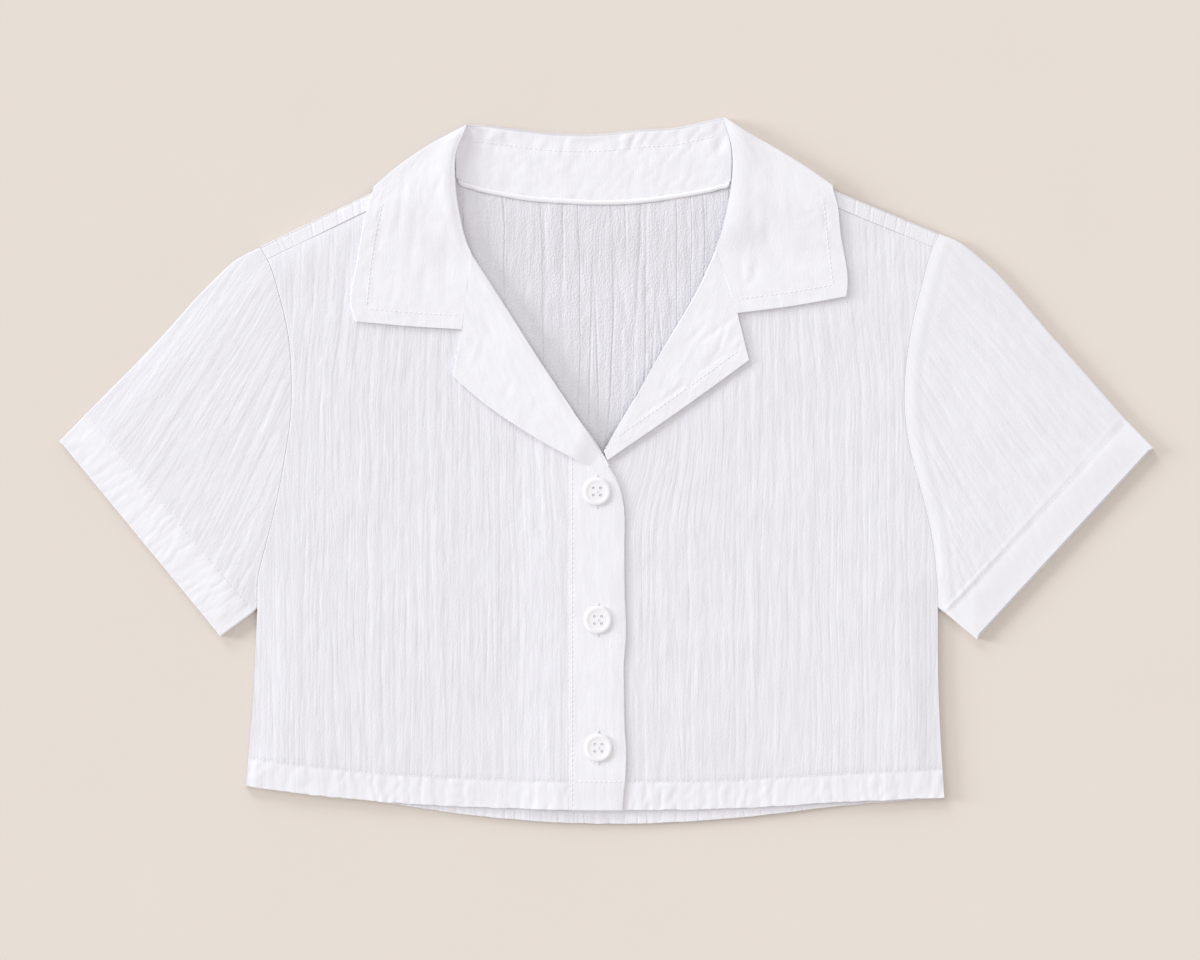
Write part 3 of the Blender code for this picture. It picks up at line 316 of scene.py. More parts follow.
# Crinkles, creases and puckers

def noise(x, y, seed):
    """Smooth noise between -1 and 1 that changes over a length of about 1."""
    table = np.random.default_rng(seed).uniform(-1.0, 1.0, (97, 97))
    x, y = np.broadcast_arrays(np.asarray(x, float), np.asarray(y, float))
    x0 = np.floor(x).astype(int)
    y0 = np.floor(y).astype(int)
    tx = ease(x - x0)
    ty = ease(y - y0)
    low = table[x0 % 97, y0 % 97] * (1 - tx) + table[(x0 + 1) % 97, y0 % 97] * tx
    high = table[x0 % 97, (y0 + 1) % 97] * (1 - tx) + table[(x0 + 1) % 97, (y0 + 1) % 97] * tx
    return low * (1 - ty) + high * ty


def ridges(across, along_, spacing, seed, meander=0.2, crest=3.0):
    """Plump ridges with narrow creases between them, from 0 to 1, uneven in place, width and strength."""
    place = across / spacing
    place = place + 0.9 * noise(across / (4.1 * spacing), along_ / 420.0, seed)
    place = place + meander * noise(across / (6.0 * spacing), along_ / 48.0, seed + 1)
    place = place + 0.7 * meander * noise(across / spacing, along_ / 7.0, seed + 2)
    number = np.floor(place)
    share = place - number
    strength = 0.6 + 0.5 * noise(number * 5.31 + 0.5, along_ / 90.0, seed + 3)
    strength = np.clip(strength + 0.35 * noise(number * 3.77 + 0.5, along_ / 9.0, seed + 4), 0.05, 1.2)
    return strength * (1 - np.abs(2 * share - 1) ** crest)


def crinkles(across, along_, seed, spacing=6.2, crest=3.0):
    """Height of gauze crinkles over the smooth cloth, in mm."""
    broad = ridges(across, along_, 1.5 * spacing, seed, crest=crest)
    middle = ridges(across, along_, 0.72 * spacing, seed + 10, meander=0.3)
    grit = noise(across / 2.0, along_ / 3.2, seed + 20)
    return RIB_HEIGHT * (0.5 * broad + 0.27 * middle + 0.13 * grit)


def soft(x, y, size, seed):
    """Broad soft unevenness, between about -1 and 1."""
    return 0.7 * noise(x / size, y / size, seed) + 0.3 * noise(x / (0.43 * size), y / (0.43 * size), seed + 1)


def nearest(plan, line):
    """Distance from each point to a line, and how far along the line that is."""
    points = plan[..., :2]
    line = np.asarray(line, float)
    best = np.full(points.shape[:-1], np.inf)
    place = np.zeros(points.shape[:-1])
    before = 0.0
    for start, end in zip(line, line[1:]):
        step = end - start
        length = np.linalg.norm(step)
        share = np.clip(((points - start) @ step) / length ** 2, 0, 1)
        distance = np.linalg.norm(points - start - share[..., None] * step, axis=-1)
        closer = distance < best
        best = np.where(closer, distance, best)
        place = np.where(closer, before + share * length, place)
        before += length
    return best, place


def sewn(plan, line, seed, groove=0.22, pucker=0.2, reach=4.5, spacing=5.5):
    """Height along a sewn line: a groove, and puckers that run across it."""
    distance, place = nearest(plan, line)
    ripple = 0.7 * noise(place / spacing, 0.35 * distance, seed)
    ripple = ripple + 0.3 * noise(place / (0.4 * spacing), 0.0, seed + 1)
    return pucker * ripple * bell(distance, reach) - groove * bell(distance, 0.9)


# Creases listed for each piece: the x, y along each, its half width, and its height or depth
Crease = namedtuple("Crease", "points width height")
CREASES = {
    "collar_leaf_right": (
        Crease(((-129.7, 194.2), (-135.5, 153.2)), 2.2, -0.26),
        Crease(((-122.5, 172.7), (-127.1, 130.5)), 2.0, -0.2),
        Crease(((-107.6, 190.3), (-111.5, 178.0)), 1.8, -0.28),
        Crease(((-103.0, 157.8), (-104.3, 111.0)), 3.2, -0.26),
        Crease(((-136.8, 120.7), (-141.4, 104.5)), 2.0, -0.22),
        Crease(((-131.5, 149.0), (-134.0, 112.0)), 3.4, 0.16),
        Crease(((-146.0, 172.0), (-150.5, 124.0)), 2.6, -0.16),
        Crease(((-117.0, 140.0), (-119.5, 108.0)), 2.4, -0.14),
    ),
    "collar_leaf_left": (
        Crease(((90.0, 118.8), (95.2, 124.6), (97.8, 138.0)), 1.8, -0.32),
        Crease(((87.2, 141.0), (87.8, 121.5)), 1.3, -0.26),
        Crease(((92.6, 135.7), (91.8, 124.3)), 2.0, 0.18),
        Crease(((94.8, 205.0), (93.2, 148.0)), 4.5, -0.32),
        Crease(((103.0, 166.2), (105.0, 146.7)), 2.6, -0.2),
        Crease(((131.0, 165.6), (136.8, 169.5)), 1.3, -0.2),
        Crease(((112.0, 186.0), (118.0, 160.0)), 3.0, 0.16),
    ),
    "lapel_left": (
        Crease(((82.2, 99.3), (68.6, 88.9), (55.6, 81.1)), 1.9, -0.24),
        Crease(((76.4, 89.5), (72.5, 77.2), (62.1, 66.1)), 1.7, -0.22),
        Crease(((86.8, 81.7), (71.2, 72.0), (58.8, 62.2)), 1.3, -0.2),
        Crease(((64.0, 94.7), (50.4, 79.8)), 2.2, -0.2),
        Crease(((80.3, 94.7), (76.4, 81.7)), 2.0, 0.16),
        Crease(((89.4, 88.2), (80.3, 77.2)), 2.0, 0.2),
        Crease(((56.0, 60.0), (28.3, 39.5)), 1.6, -0.18),
    ),
    "lapel_right": (
        Crease(((-82.9, 85.0), (-88.1, 68.1)), 1.2, 0.16),
        Crease(((-78.3, 88.2), (-82.2, 70.7)), 2.2, -0.14),
        Crease(((-79.6, 99.3), (-71.8, 85.0)), 2.4, -0.2),
        Crease(((-61.4, 59.0), (-66.0, 46.0)), 2.0, -0.16),
        Crease(((-45.0, 52.0), (-52.0, 38.0)), 2.6, 0.14),
    ),
    "collar_back": (
        Crease(((75.1, 217.6), (72.5, 204.6)), 3.2, -0.6),
        Crease(((72.5, 228.6), (71.2, 221.5)), 1.3, -0.3),
        Crease(((68.6, 222.8), (77.7, 221.5)), 1.0, -0.2),
        Crease(((-86.1, 224.7), (-88.1, 218.9)), 1.5, -0.4),
        Crease(((-75.7, 223.4), (-76.4, 216.9)), 1.4, -0.32),
        Crease(((-64.0, 222.8), (-64.7, 216.9)), 1.5, -0.26),
        Crease(((-80.0, 205.0), (-64.0, 197.0)), 2.4, -0.16),
    ),
}


def hand_creases(name, plan):
    """Height of a piece's listed creases, which die out towards their ends."""
    height = np.zeros(plan.shape[:-1])
    for crease in CREASES[name]:
        distance, place = nearest(plan, crease.points)
        middle = np.sin(math.pi * place / path_length(crease.points))
        height += crease.height * (0.3 + 0.7 * middle) * bell(distance, crease.width)
    return height


OUTLINE = garment_outline()


# Meshes

SEAM_RADIUS = 0.3
EDGE_RADIUS = 0.32


def add_object(name, data):
    obj = bpy.data.objects.new(name, data)
    bpy.context.scene.collection.objects.link(obj)
    return obj


def add_mesh(name, points, faces, material):
    """An object with a smooth mesh of points in mm."""
    mesh = bpy.data.meshes.new(name)
    mesh.from_pydata((np.asarray(points) * MM).tolist(), [], faces)
    mesh.shade_smooth()
    mesh.materials.append(material)
    return add_object(name, mesh)


def drop(distance, radius):
    """How far a rounded edge's surface lies below its crown, at a distance from the edge."""
    inside = np.clip(radius - distance, 0, radius)
    return radius - np.sqrt(radius ** 2 - inside ** 2)


def rounded(top, bottom, edges="abcd", radius=None):
    """Both sides of a wall with its edges rounded: a and b are the first and last i, c and d those of j.
    The radius is EDGE_RADIUS, or half a thinner wall, where none is given."""
    top = top.copy()
    bottom = bottom.copy()
    for edge in edges:
        axis = 0 if edge in "ab" else 1
        grid = top if edge in "ac" else np.flip(top, axis)
        steps = np.linalg.norm(np.diff(grid, axis=axis), axis=-1)
        start = np.zeros_like(np.take(steps, [0], axis=axis))
        distance = np.concatenate((start, np.cumsum(steps, axis=axis)), axis=axis)
        if edge in "bd":
            distance = np.flip(distance, axis)
        thickness = np.linalg.norm(top - bottom, axis=-1)
        lowered = drop(distance, np.minimum(thickness / 2, EDGE_RADIUS) if radius is None else radius)
        unit = (bottom - top) / np.maximum(thickness, 1e-6)[..., None]
        top += unit * lowered[..., None]
        bottom -= unit * lowered[..., None]
    return top, bottom


def add_cloth(name, top, bottom, grain, material, present=None, closed=False, doubling_and_painted_shade=0.0):
    """Closed shell between two matching grids of points. Its grain stores the cloth's own directions, and its
    doubling, from 0 to 1, or below 0, down to -1, how strong the painted shade is on an edge that faces the
    lamps."""
    count_i, count_j = top.shape[:2]
    index = np.arange(count_i * count_j).reshape(count_i, count_j)
    after = np.roll(index, -1, axis=0) if closed else index[1:]
    before = index if closed else index[:-1]
    quads = np.stack((before[:, :-1], after[:, :-1], after[:, 1:], before[:, 1:]), axis=-1)
    quads = quads.reshape(-1, 4) if present is None else quads[present]
    total = count_i * count_j
    edges = np.concatenate([quads[:, [k, (k + 1) % 4]] for k in range(4)])
    rim = edges[~np.isin(edges[:, 0] * total + edges[:, 1], edges[:, 1] * total + edges[:, 0])]
    sides = np.column_stack((rim[:, 1], rim[:, 0], rim[:, 0] + total, rim[:, 1] + total))
    faces = np.concatenate((quads, quads[:, ::-1] + total, sides))
    points = np.concatenate((top.reshape(-1, 3), bottom.reshape(-1, 3)))
    grain = np.concatenate((grain * MM, np.broadcast_to(doubling_and_painted_shade, top.shape[:2])[..., None]), axis=-1)
    grain = np.tile(grain.reshape(-1, 3), (2, 1))
    used, faces = np.unique(faces, return_inverse=True)
    faces = faces.reshape(-1, 4)
    points = points[used]
    corners = points[faces]
    volume = np.einsum("ij,ij->i", np.cross(corners[:, 1] - corners[:, 0], corners[:, 2] - corners[:, 0])
                       + np.cross(corners[:, 2] - corners[:, 0], corners[:, 3] - corners[:, 0]),
                       corners.mean(axis=1)).sum()
    if volume < 0:
        faces = faces[:, ::-1]
    obj = add_mesh(name, points, faces.tolist(), material)
    stored = grain[used].astype(np.float32).ravel()
    obj.data.attributes.new("grain", "FLOAT_VECTOR", "POINT").data.foreach_set("vector", stored)
    return obj


# Body panels

HEM_PLACES = np.concatenate((EDGE_PLACES, np.arange(2.0, HEM_DEPTH - 1.0, 2.1), (HEM_DEPTH - 0.9, HEM_DEPTH,
                             HEM_DEPTH + 0.9, HEM_DEPTH + HEM_GROOVE)))


def rows_up(side, below_step, step, to_fold=False):
    """Heights of a panel's rows at the side of the body, and the number of the row at the underarm notch."""
    start = side.hem_y + HEM_DEPTH + HEM_GROOVE
    notch = side.notch_y - NOTCH_DROP
    reference = RIGHT.hem_y + HEM_DEPTH + HEM_GROOVE
    below = int(round((RIGHT.notch_y - reference) / below_step))
    upper = spaced(RIGHT.seam_y - RIGHT.notch_y, step, near_start=False, near_end=not to_fold)[1:]
    levels = [side.hem_y + HEM_PLACES, np.linspace(start, notch, below + 1)[1:],
              side.notch_y + upper * (side.seam_y - side.notch_y)]
    if to_fold:
        levels.append(np.linspace(side.seam_y, side.fold_y - FOLD_RADIUS, 4)[1:])
    return np.concatenate(levels), len(HEM_PLACES) + below - 1


def end_weight(columns, anchor):
    """How much each column follows the curved edge at the anchor."""
    return np.clip(1 - np.abs(columns - anchor) / EDGE_EASE, 0, 1) ** 1.5


def body_plan(columns, hem, top, ends, below_inset, steps, to_fold=False, ragged=0.25):
    """Plan of a body panel. Columns run from the hem to the top edge. Ends are pairs of a side and its x."""
    rows = {side: rows_up(side, *steps, to_fold)[0] for side, _ in ends}
    count = len(rows[ends[0][0]])
    hem_count = len(HEM_PLACES)
    x = np.repeat(columns[:, None], count, axis=1)
    shares = np.zeros((len(columns), count - hem_count))
    weights = np.zeros(len(columns))
    for side, anchor in ends:
        levels = rows[side]
        below = through(side.edge, levels) + side.inward * below_inset
        above = armhole_x(side, levels) + side.inward * SEAM
        edge_x = np.where(levels <= side.notch_y - NOTCH_DROP + 0.01, below, above)
        x += end_weight(columns, anchor)[:, None] * (edge_x - anchor)[None]
        start = side.hem_y + HEM_DEPTH + HEM_GROOVE
        share = (levels[hem_count:] - start) / (levels[-1] - start)
        nearness = 1 / (np.abs(columns - anchor) + 1e-3) if len(ends) > 1 else np.ones(len(columns))
        shares += nearness[:, None] * share[None]
        weights += nearness
    shares /= weights[:, None]
    hem_y = through(hem, x[:, 0])
    start = hem_y + HEM_DEPTH + HEM_GROOVE
    waver = ragged * (0.7 * noise(x[:, 0] / 5.6, 0.0, 55) + 0.3 * noise(x[:, 0] / 2.4, 0.0, 56))
    y = np.empty_like(x)
    y[:, :hem_count] = hem_y[:, None] + HEM_PLACES[None]
    y[:, :hem_count] += waver[:, None] * ease(1 - HEM_PLACES / HEM_DEPTH)
    y[:, hem_count:] = start[:, None] + shares * (top(x[:, -1]) - start)[:, None]
    return np.stack((x, y), axis=-1)


def shoulder_fold(x):
    """y of the shoulder folds, which are straight from the neck points to the armholes."""
    lines = []
    for side in (RIGHT, LEFT):
        end_x = armhole_x(side, side.fold_y)
        slope = (side.neck_point[1] - side.fold_y) / (side.neck_point[0] - end_x)
        lines.append(side.fold_y + (x - end_x) * slope)
    return np.where(x < 0, lines[0], lines[1])


def seam_end_x(side, below_fold):
    """x where a line at this distance below the shoulder fold meets the armhole."""
    level = side.fold_y
    for _ in range(6):
        level = shoulder_fold(armhole_x(side, level)) - below_fold
    return armhole_x(side, level)


def opening_x(side, y):
    """x of the rolled edge of the neck opening, down to the placket."""
    below = sorted((row[1], row[0]) for row in side.lapel.roll)
    above = sorted((row[1], row[0]) for row in side.leaf.inner[2:])
    return through(below + above, y)


def neck_edge(side):
    """Neck edge of a front, which lies under the collar and lapel a little inside their roll."""
    start = (side.neck_point[0], side.neck_point[1] - SHOULDER_STRIP - SEAM)
    under_collar = inset(along(side.leaf.inner[1:4], (0.0, 0.5, 1.0)), NECK_INSET, front_middle(side))
    under_lapel = inset(along(side.lapel.roll[:4], np.linspace(0, 1, 12)), NECK_INSET, front_middle(side))
    points = [start, *under_collar[1:0:-1], *under_lapel]
    if side is LEFT:
        points.append(UNDER_CORNER)
    return np.array(sorted(map(tuple, points)))


def hem_line(from_x, to_x, count=40):
    """Points of the sewn line of the fronts' hem."""
    x = np.linspace(from_x, to_x, count)
    return np.column_stack((x, through(FRONT_HEM, x) + HEM_DEPTH))


def hem_relief(plan, across, hem, seed):
    """The turned-up hem: a raised band with puckers that run up from its edge, sewn along its top."""
    x, y = plan[..., 0], plan[..., 1]
    above_edge = y - through(hem, x)
    band = ease((HEM_DEPTH + 0.4 - above_edge) / 2.0)
    puckers = 0.78 * ridges(across + 0.12 * above_edge, above_edge * 2.2, 8.6, seed, meander=0.5, crest=2.2)
    puckers = puckers + 0.2 * ridges(across, above_edge * 3.0, 4.2, seed + 30, meander=0.5)
    seam = bell(above_edge - HEM_DEPTH, 0.8)
    at_gathers = bell(above_edge - HEM_DEPTH - 2.0, 1.5)
    gathers = 0.2 * (0.4 + ridges(across, above_edge, 4.4, seed + 31)) * at_gathers
    return band * (HEM_RAISE + 0.58 * (puckers - 0.45)) - 0.1 * seam + gathers, band


def crinkle_lean(side, x, y):
    """How far a front's crinkles lean: out from the top button, and in towards the neck at the shoulder."""
    from_centre = np.abs(x + 6.0)
    strength = 5.0 if side is RIGHT else 20.0
    out = strength * bell(from_centre, 62.0) * ease((y + 52.0) / 80.0) ** 1.3
    along_shoulder = bell(from_centre - 160.0, 45.0)
    return -side.inward * out + side.inward * 9.0 * along_shoulder * ease((y - 40.0) / 110.0)


def make_front(side, material):
    """A front: from the side fold and armhole to the centre, with its neck edge under the lapel."""
    neck = neck_edge(side)
    centre = PLACKET_SEAM_X - SEAM if side is RIGHT else UNDER_CORNER[0]
    outer = float(armhole_x(side, side.seam_y)) + side.inward * SEAM

    def top_line(x):
        shoulder = shoulder_fold(x) - SHOULDER_STRIP - SEAM
        at_neck = np.interp(x, neck[:, 0], neck[:, 1])
        return np.where((x - side.neck_point[0]) * side.inward < 0, shoulder, at_neck)

    columns = outer + spaced(abs(centre - outer), COLUMN_STEP) * (centre - outer)
    steps = (3.4, ROW_STEP)
    plan = body_plan(columns, FRONT_HEM, top_line, [(side, outer)], LIP_WIDTH, steps, ragged=0.45)
    levels, notch_row = rows_up(side, *steps)
    x, y = plan[..., 0], plan[..., 1]
    seed = 100 if side is RIGHT else 200
    across = x - crinkle_lean(side, x, y)
    relief, band = hem_relief(plan, across, FRONT_HEM, seed + 50)
    ribs = (0.95 if side is RIGHT else 0.82) * crinkles(across, y, seed) * (1 - 0.92 * band)
    from_side = np.abs(columns - outer)[:, None]
    ribs = ribs * (0.5 + 0.5 * ease((from_side - 4.0) / 18.0)) * (1 + 0.25 * ease((y - 20.0) / 60.0))
    at_armhole = (y > side.notch_y) * (1 - ease(from_side / 2.8))
    at_shoulder = 1 - ease((top_line(x[:, -1])[:, None] - y) / 2.8)
    ribs = ribs * (1 - at_armhole) * (1 - at_shoulder)
    relief = relief + 0.22 * soft(x, y, 46.0, seed + 60)
    under = FRONT_UNDER + fall_lift(x, y) + loft(x, y)
    if side is RIGHT:
        under = under + overlap_rise(x)
        ribs = ribs * (0.35 + 0.65 * ease((PLACKET_SEAM_X - 1.0 - x) / 10.0))
    else:
        # smooth beside the top button and flat under the button band
        ribs = ribs * (1 - 0.85 * np.exp(-((x - 15.0) / 13.0) ** 2 - ((y + 2.0) / 17.0) ** 2))
        clear = ease((x - PLACKET_EDGE_X - 0.5) / 4.0)
        ribs = ribs * clear
        relief = relief * clear
    shoulder_line = np.column_stack((np.linspace(outer, side.neck_point[0], 12), np.zeros(12)))
    shoulder_line[:, 1] = top_line(shoulder_line[:, 0])
    relief = relief + sewn(plan, shoulder_line, seed + 70, groove=0.0, pucker=0.1, reach=6.0, spacing=4.0)
    relief = relief * (1 - at_armhole) * (1 - at_shoulder)
    # under the lapel and leaf the cloth stays no higher than a crinkle
    height = ribs + relief
    clear = ease((outside_cover(side, x, y) - 1.0) / 4.0)
    height = np.minimum(height, np.where(clear > 0, RIB_HEIGHT * (1 - clear) + clear * height, RIB_HEIGHT))
    top = with_height(plan, under + CLOTH + height)
    bottom = with_height(plan, under)
    top, bottom = rounded(top, bottom, "c" if side is RIGHT else "bc")
    top, bottom = rounded(top, bottom, "bd" if side is RIGHT else "d", SEAM_RADIUS)
    # above the notch the panel ends at the armhole seam
    ends, end_bottoms = rounded(top[:, notch_row:], bottom[:, notch_row:], "a", side.seam_radius)
    top[:, notch_row:] = ends
    bottom[:, notch_row:] = end_bottoms

    angles = np.radians(np.arange(0.0, 90.0, 15.0))[:, None]
    edge_x = through(side.edge, levels)
    rise = loft(x[0], y[0])
    lips = []
    for radius, reach in ((SIDE_LIP, LIP_WIDTH), (SIDE_LIP - CLOTH, 0.4 * LIP_WIDTH)):
        lip_x = edge_x + side.inward * (LIP_WIDTH - reach * np.cos(angles))
        lip_z = (radius + rise) * np.sin(angles)
        lips.append(np.stack((lip_x, np.broadcast_to(y[0], lip_x.shape), lip_z), axis=-1))
    top = np.concatenate((lips[0], top))
    bottom = np.concatenate((lips[1], bottom))
    lip = len(angles)
    around = columns[0] - side.inward * SIDE_LIP * (math.pi / 2 - angles)
    grain_across = np.concatenate((np.broadcast_to(around, (lip, x.shape[1])), across))
    grain = np.stack((grain_across, np.concatenate((np.broadcast_to(y[0], (lip, len(y[0]))), y))), axis=-1)
    present = np.ones((len(top) - 1, x.shape[1] - 1), bool)
    present[:lip, notch_row:] = False
    # the right front's side lip, which faces the lamps, gets a painted shade; the hem band is doubled
    doubling_and_painted_shade = np.concatenate((np.full((lip, x.shape[1]), -1.0 if side is RIGHT else 0.0), 0.8 * band))
    return add_cloth("front_" + side.name + "_cloth", top, bottom, grain, material, present, doubling_and_painted_shade=doubling_and_painted_shade)


def outside_cover(side, x, y):
    """Distance outside the outline of the lapel and leaf on a front, and 0 under them."""
    lapel = side.lapel
    leaf = side.leaf
    outline = np.array([*leaf.outer[::-1], *leaf.bottom[1:], *lapel.lower])
    distance, _ = nearest(np.stack((x, y), axis=-1), outline)
    lower = np.array(sorted(lapel.lower))
    leaf_y = np.interp(x, *np.array(sorted(leaf.bottom)).T)
    lapel_y = np.interp(x, lower[:, 0], lower[:, 1], left=1e3, right=1e3)
    in_leaf = (y > leaf_y) & (np.abs(x) < np.abs(np.array(leaf.outer)[:, 0]).max())
    return np.where(in_leaf | (y > lapel_y), 0.0, distance)


def shoulder_wrap(columns, ends):
    """Rows of the back from the shoulder fold round to the shoulder seam in front, outside and inside."""
    fold_lift = fall_lift(columns, shoulder_fold(columns) - FOLD_RADIUS)
    strip = SHOULDER_STRIP - FOLD_RADIUS
    turns = [(angle, 0.0) for angle in TURN_ANGLES]
    turns += [(180.0, share * strip) for share in spaced(strip, 2.0, near_start=False)]
    wraps = []
    for radius in (FOLD_RADIUS, FOLD_RADIUS - CLOTH):
        rows = []
        for angle, beyond in turns:
            turn = math.radians(angle)
            below_fold = FOLD_RADIUS - radius * math.sin(turn) + beyond
            x = columns.copy()
            for side, anchor in ends:
                end_x = seam_end_x(side, below_fold) + side.inward * SEAM
                x += end_weight(columns, anchor) * (end_x - anchor)
            z = fold_lift + FOLD_RADIUS - radius * math.cos(turn)
            z = z + loft(x, shoulder_fold(x) - below_fold) * ease(turn / math.pi)
            rows.append(np.column_stack((x, shoulder_fold(x) - below_fold, z)))
        wraps.append(np.stack(rows, axis=1))
    return wraps


def make_back(material):
    """The back, which wraps forward over both shoulder folds to the shoulder seams."""
    ends = [(side, float(armhole_x(side, side.fold_y))) for side in (RIGHT, LEFT)]
    neck_right, neck_left = RIGHT.neck_point[0], LEFT.neck_point[0]
    right = ends[0][1] + spaced(neck_right - ends[0][1], 2.3, near_end=False) * (neck_right - ends[0][1])
    left = ends[1][1] + spaced(ends[1][1] - neck_left, 2.3, near_end=False)[::-1] * (neck_left - ends[1][1])
    middle_count = int(round((neck_left - neck_right) / COLUMN_STEP))
    middle = np.linspace(neck_right, neck_left, middle_count + 1)
    columns = np.concatenate((right, middle[1:-1], left))

    def top_line(x):
        seam = through(NECK_SEAM, x) - 2 * SEAM
        return np.where((x > neck_right) & (x < neck_left), seam, shoulder_fold(x) - FOLD_RADIUS)

    steps = (6.0, 2.3)
    plan = body_plan(columns, BACK_HEM, top_line, ends, BACK_SIDE_INSET, steps, to_fold=True)
    x, y = plan[..., 0], plan[..., 1]
    lift = fall_lift(x, y)
    across = np.broadcast_to(columns[:, None], x.shape)
    in_opening = ease((x - opening_x(RIGHT, y) + 1) / 5) * ease((opening_x(LEFT, y) + 1 - x) / 5)
    in_opening = in_opening * ease((y - 2) / 12)
    inside = 1.6 * crinkles(across, y, 300, spacing=8.6, crest=6.0) * in_opening
    relief, band = hem_relief(plan, across, BACK_HEM, 350)
    inside = inside + np.minimum(relief, 0.25) * ease((y + 240.0) / 5.0) * (y < -200.0)
    outside = 0.3 - 0.75 * crinkles(across, y, 360, spacing=8.0) * (1 - band)
    outside = np.clip(outside + 0.3 * band * ridges(across, y, 9.0, 370), 0.0, None)
    wrap_outside, wrap_inside = shoulder_wrap(columns, ends)
    wrap_x, wrap_y = wrap_outside[..., 0], wrap_outside[..., 1]
    turned = np.arange(wrap_x.shape[1]) >= len(TURN_ANGLES)
    creases = 0.07 * soft(wrap_x, wrap_y, 6.0, 380)
    wrap_outside[..., 2] += creases * turned
    edge = ease(np.abs(y - top_line(x[:, -1])[:, None]) / 6.0)
    curl = HEM_CURL * ease((-204.0 - y) / 14.0) * ease((FALL_HALF_WIDTH + 30.0 - np.abs(x)) / 40.0)
    outside = with_height(plan, lift + curl + outside * edge)
    inside = with_height(plan, lift + curl + CLOTH + inside)
    count = x.shape[1]
    # the neck edge is rounded between the neck points, and the sides and the shoulder seams all along
    neck = slice(len(right) - 1, len(right) + middle_count)
    inside[neck], outside[neck] = rounded(inside[neck], outside[neck], "d", SEAM_RADIUS)
    outer = np.concatenate((outside, wrap_outside), axis=1)
    inner = np.concatenate((inside, wrap_inside), axis=1)
    outer, inner = rounded(outer, inner, "c")
    outer, inner = rounded(outer, inner, "abd", SEAM_RADIUS)
    grain_y = np.concatenate((y, 2 * shoulder_fold(wrap_x) - wrap_y), axis=1)
    grain = np.stack((np.broadcast_to(columns[:, None], grain_y.shape), grain_y), axis=-1)
    present = np.ones((len(columns) - 1, outer.shape[1] - 1), bool)
    present[neck.start:neck.stop - 1, count - 1:] = False
    # the strip turned to the front is doubled; the right shoulder fold, which faces the lamps, gets a painted
    # shade
    fold_layers_and_painted_shade = np.where(turned, 0.68, np.where(wrap_x < 0, -0.35, 0.0))
    doubling_and_painted_shade = np.concatenate((0.75 * band, fold_layers_and_painted_shade), axis=1)
    return add_cloth("back_cloth", outer, inner, grain, material, present, doubling_and_painted_shade=doubling_and_painted_shade)


# Sleeves

def sleeve_fan(side, plan):
    """Places across and along a sleeve's crinkles, which spread from a point beyond the shoulder."""
    away = plan[..., :2] - np.array(side.fan)
    turned = np.arctan2(away[..., 0] * side.inward, -away[..., 1])
    middle = 0.25 * sum(np.array(point) for point in side.band[:2]) + 0.5 * np.array(side.sleeve_top[0])
    reach = np.linalg.norm(middle - np.array(side.fan))
    return np.stack((reach * turned, np.linalg.norm(away, axis=-1)), axis=-1)


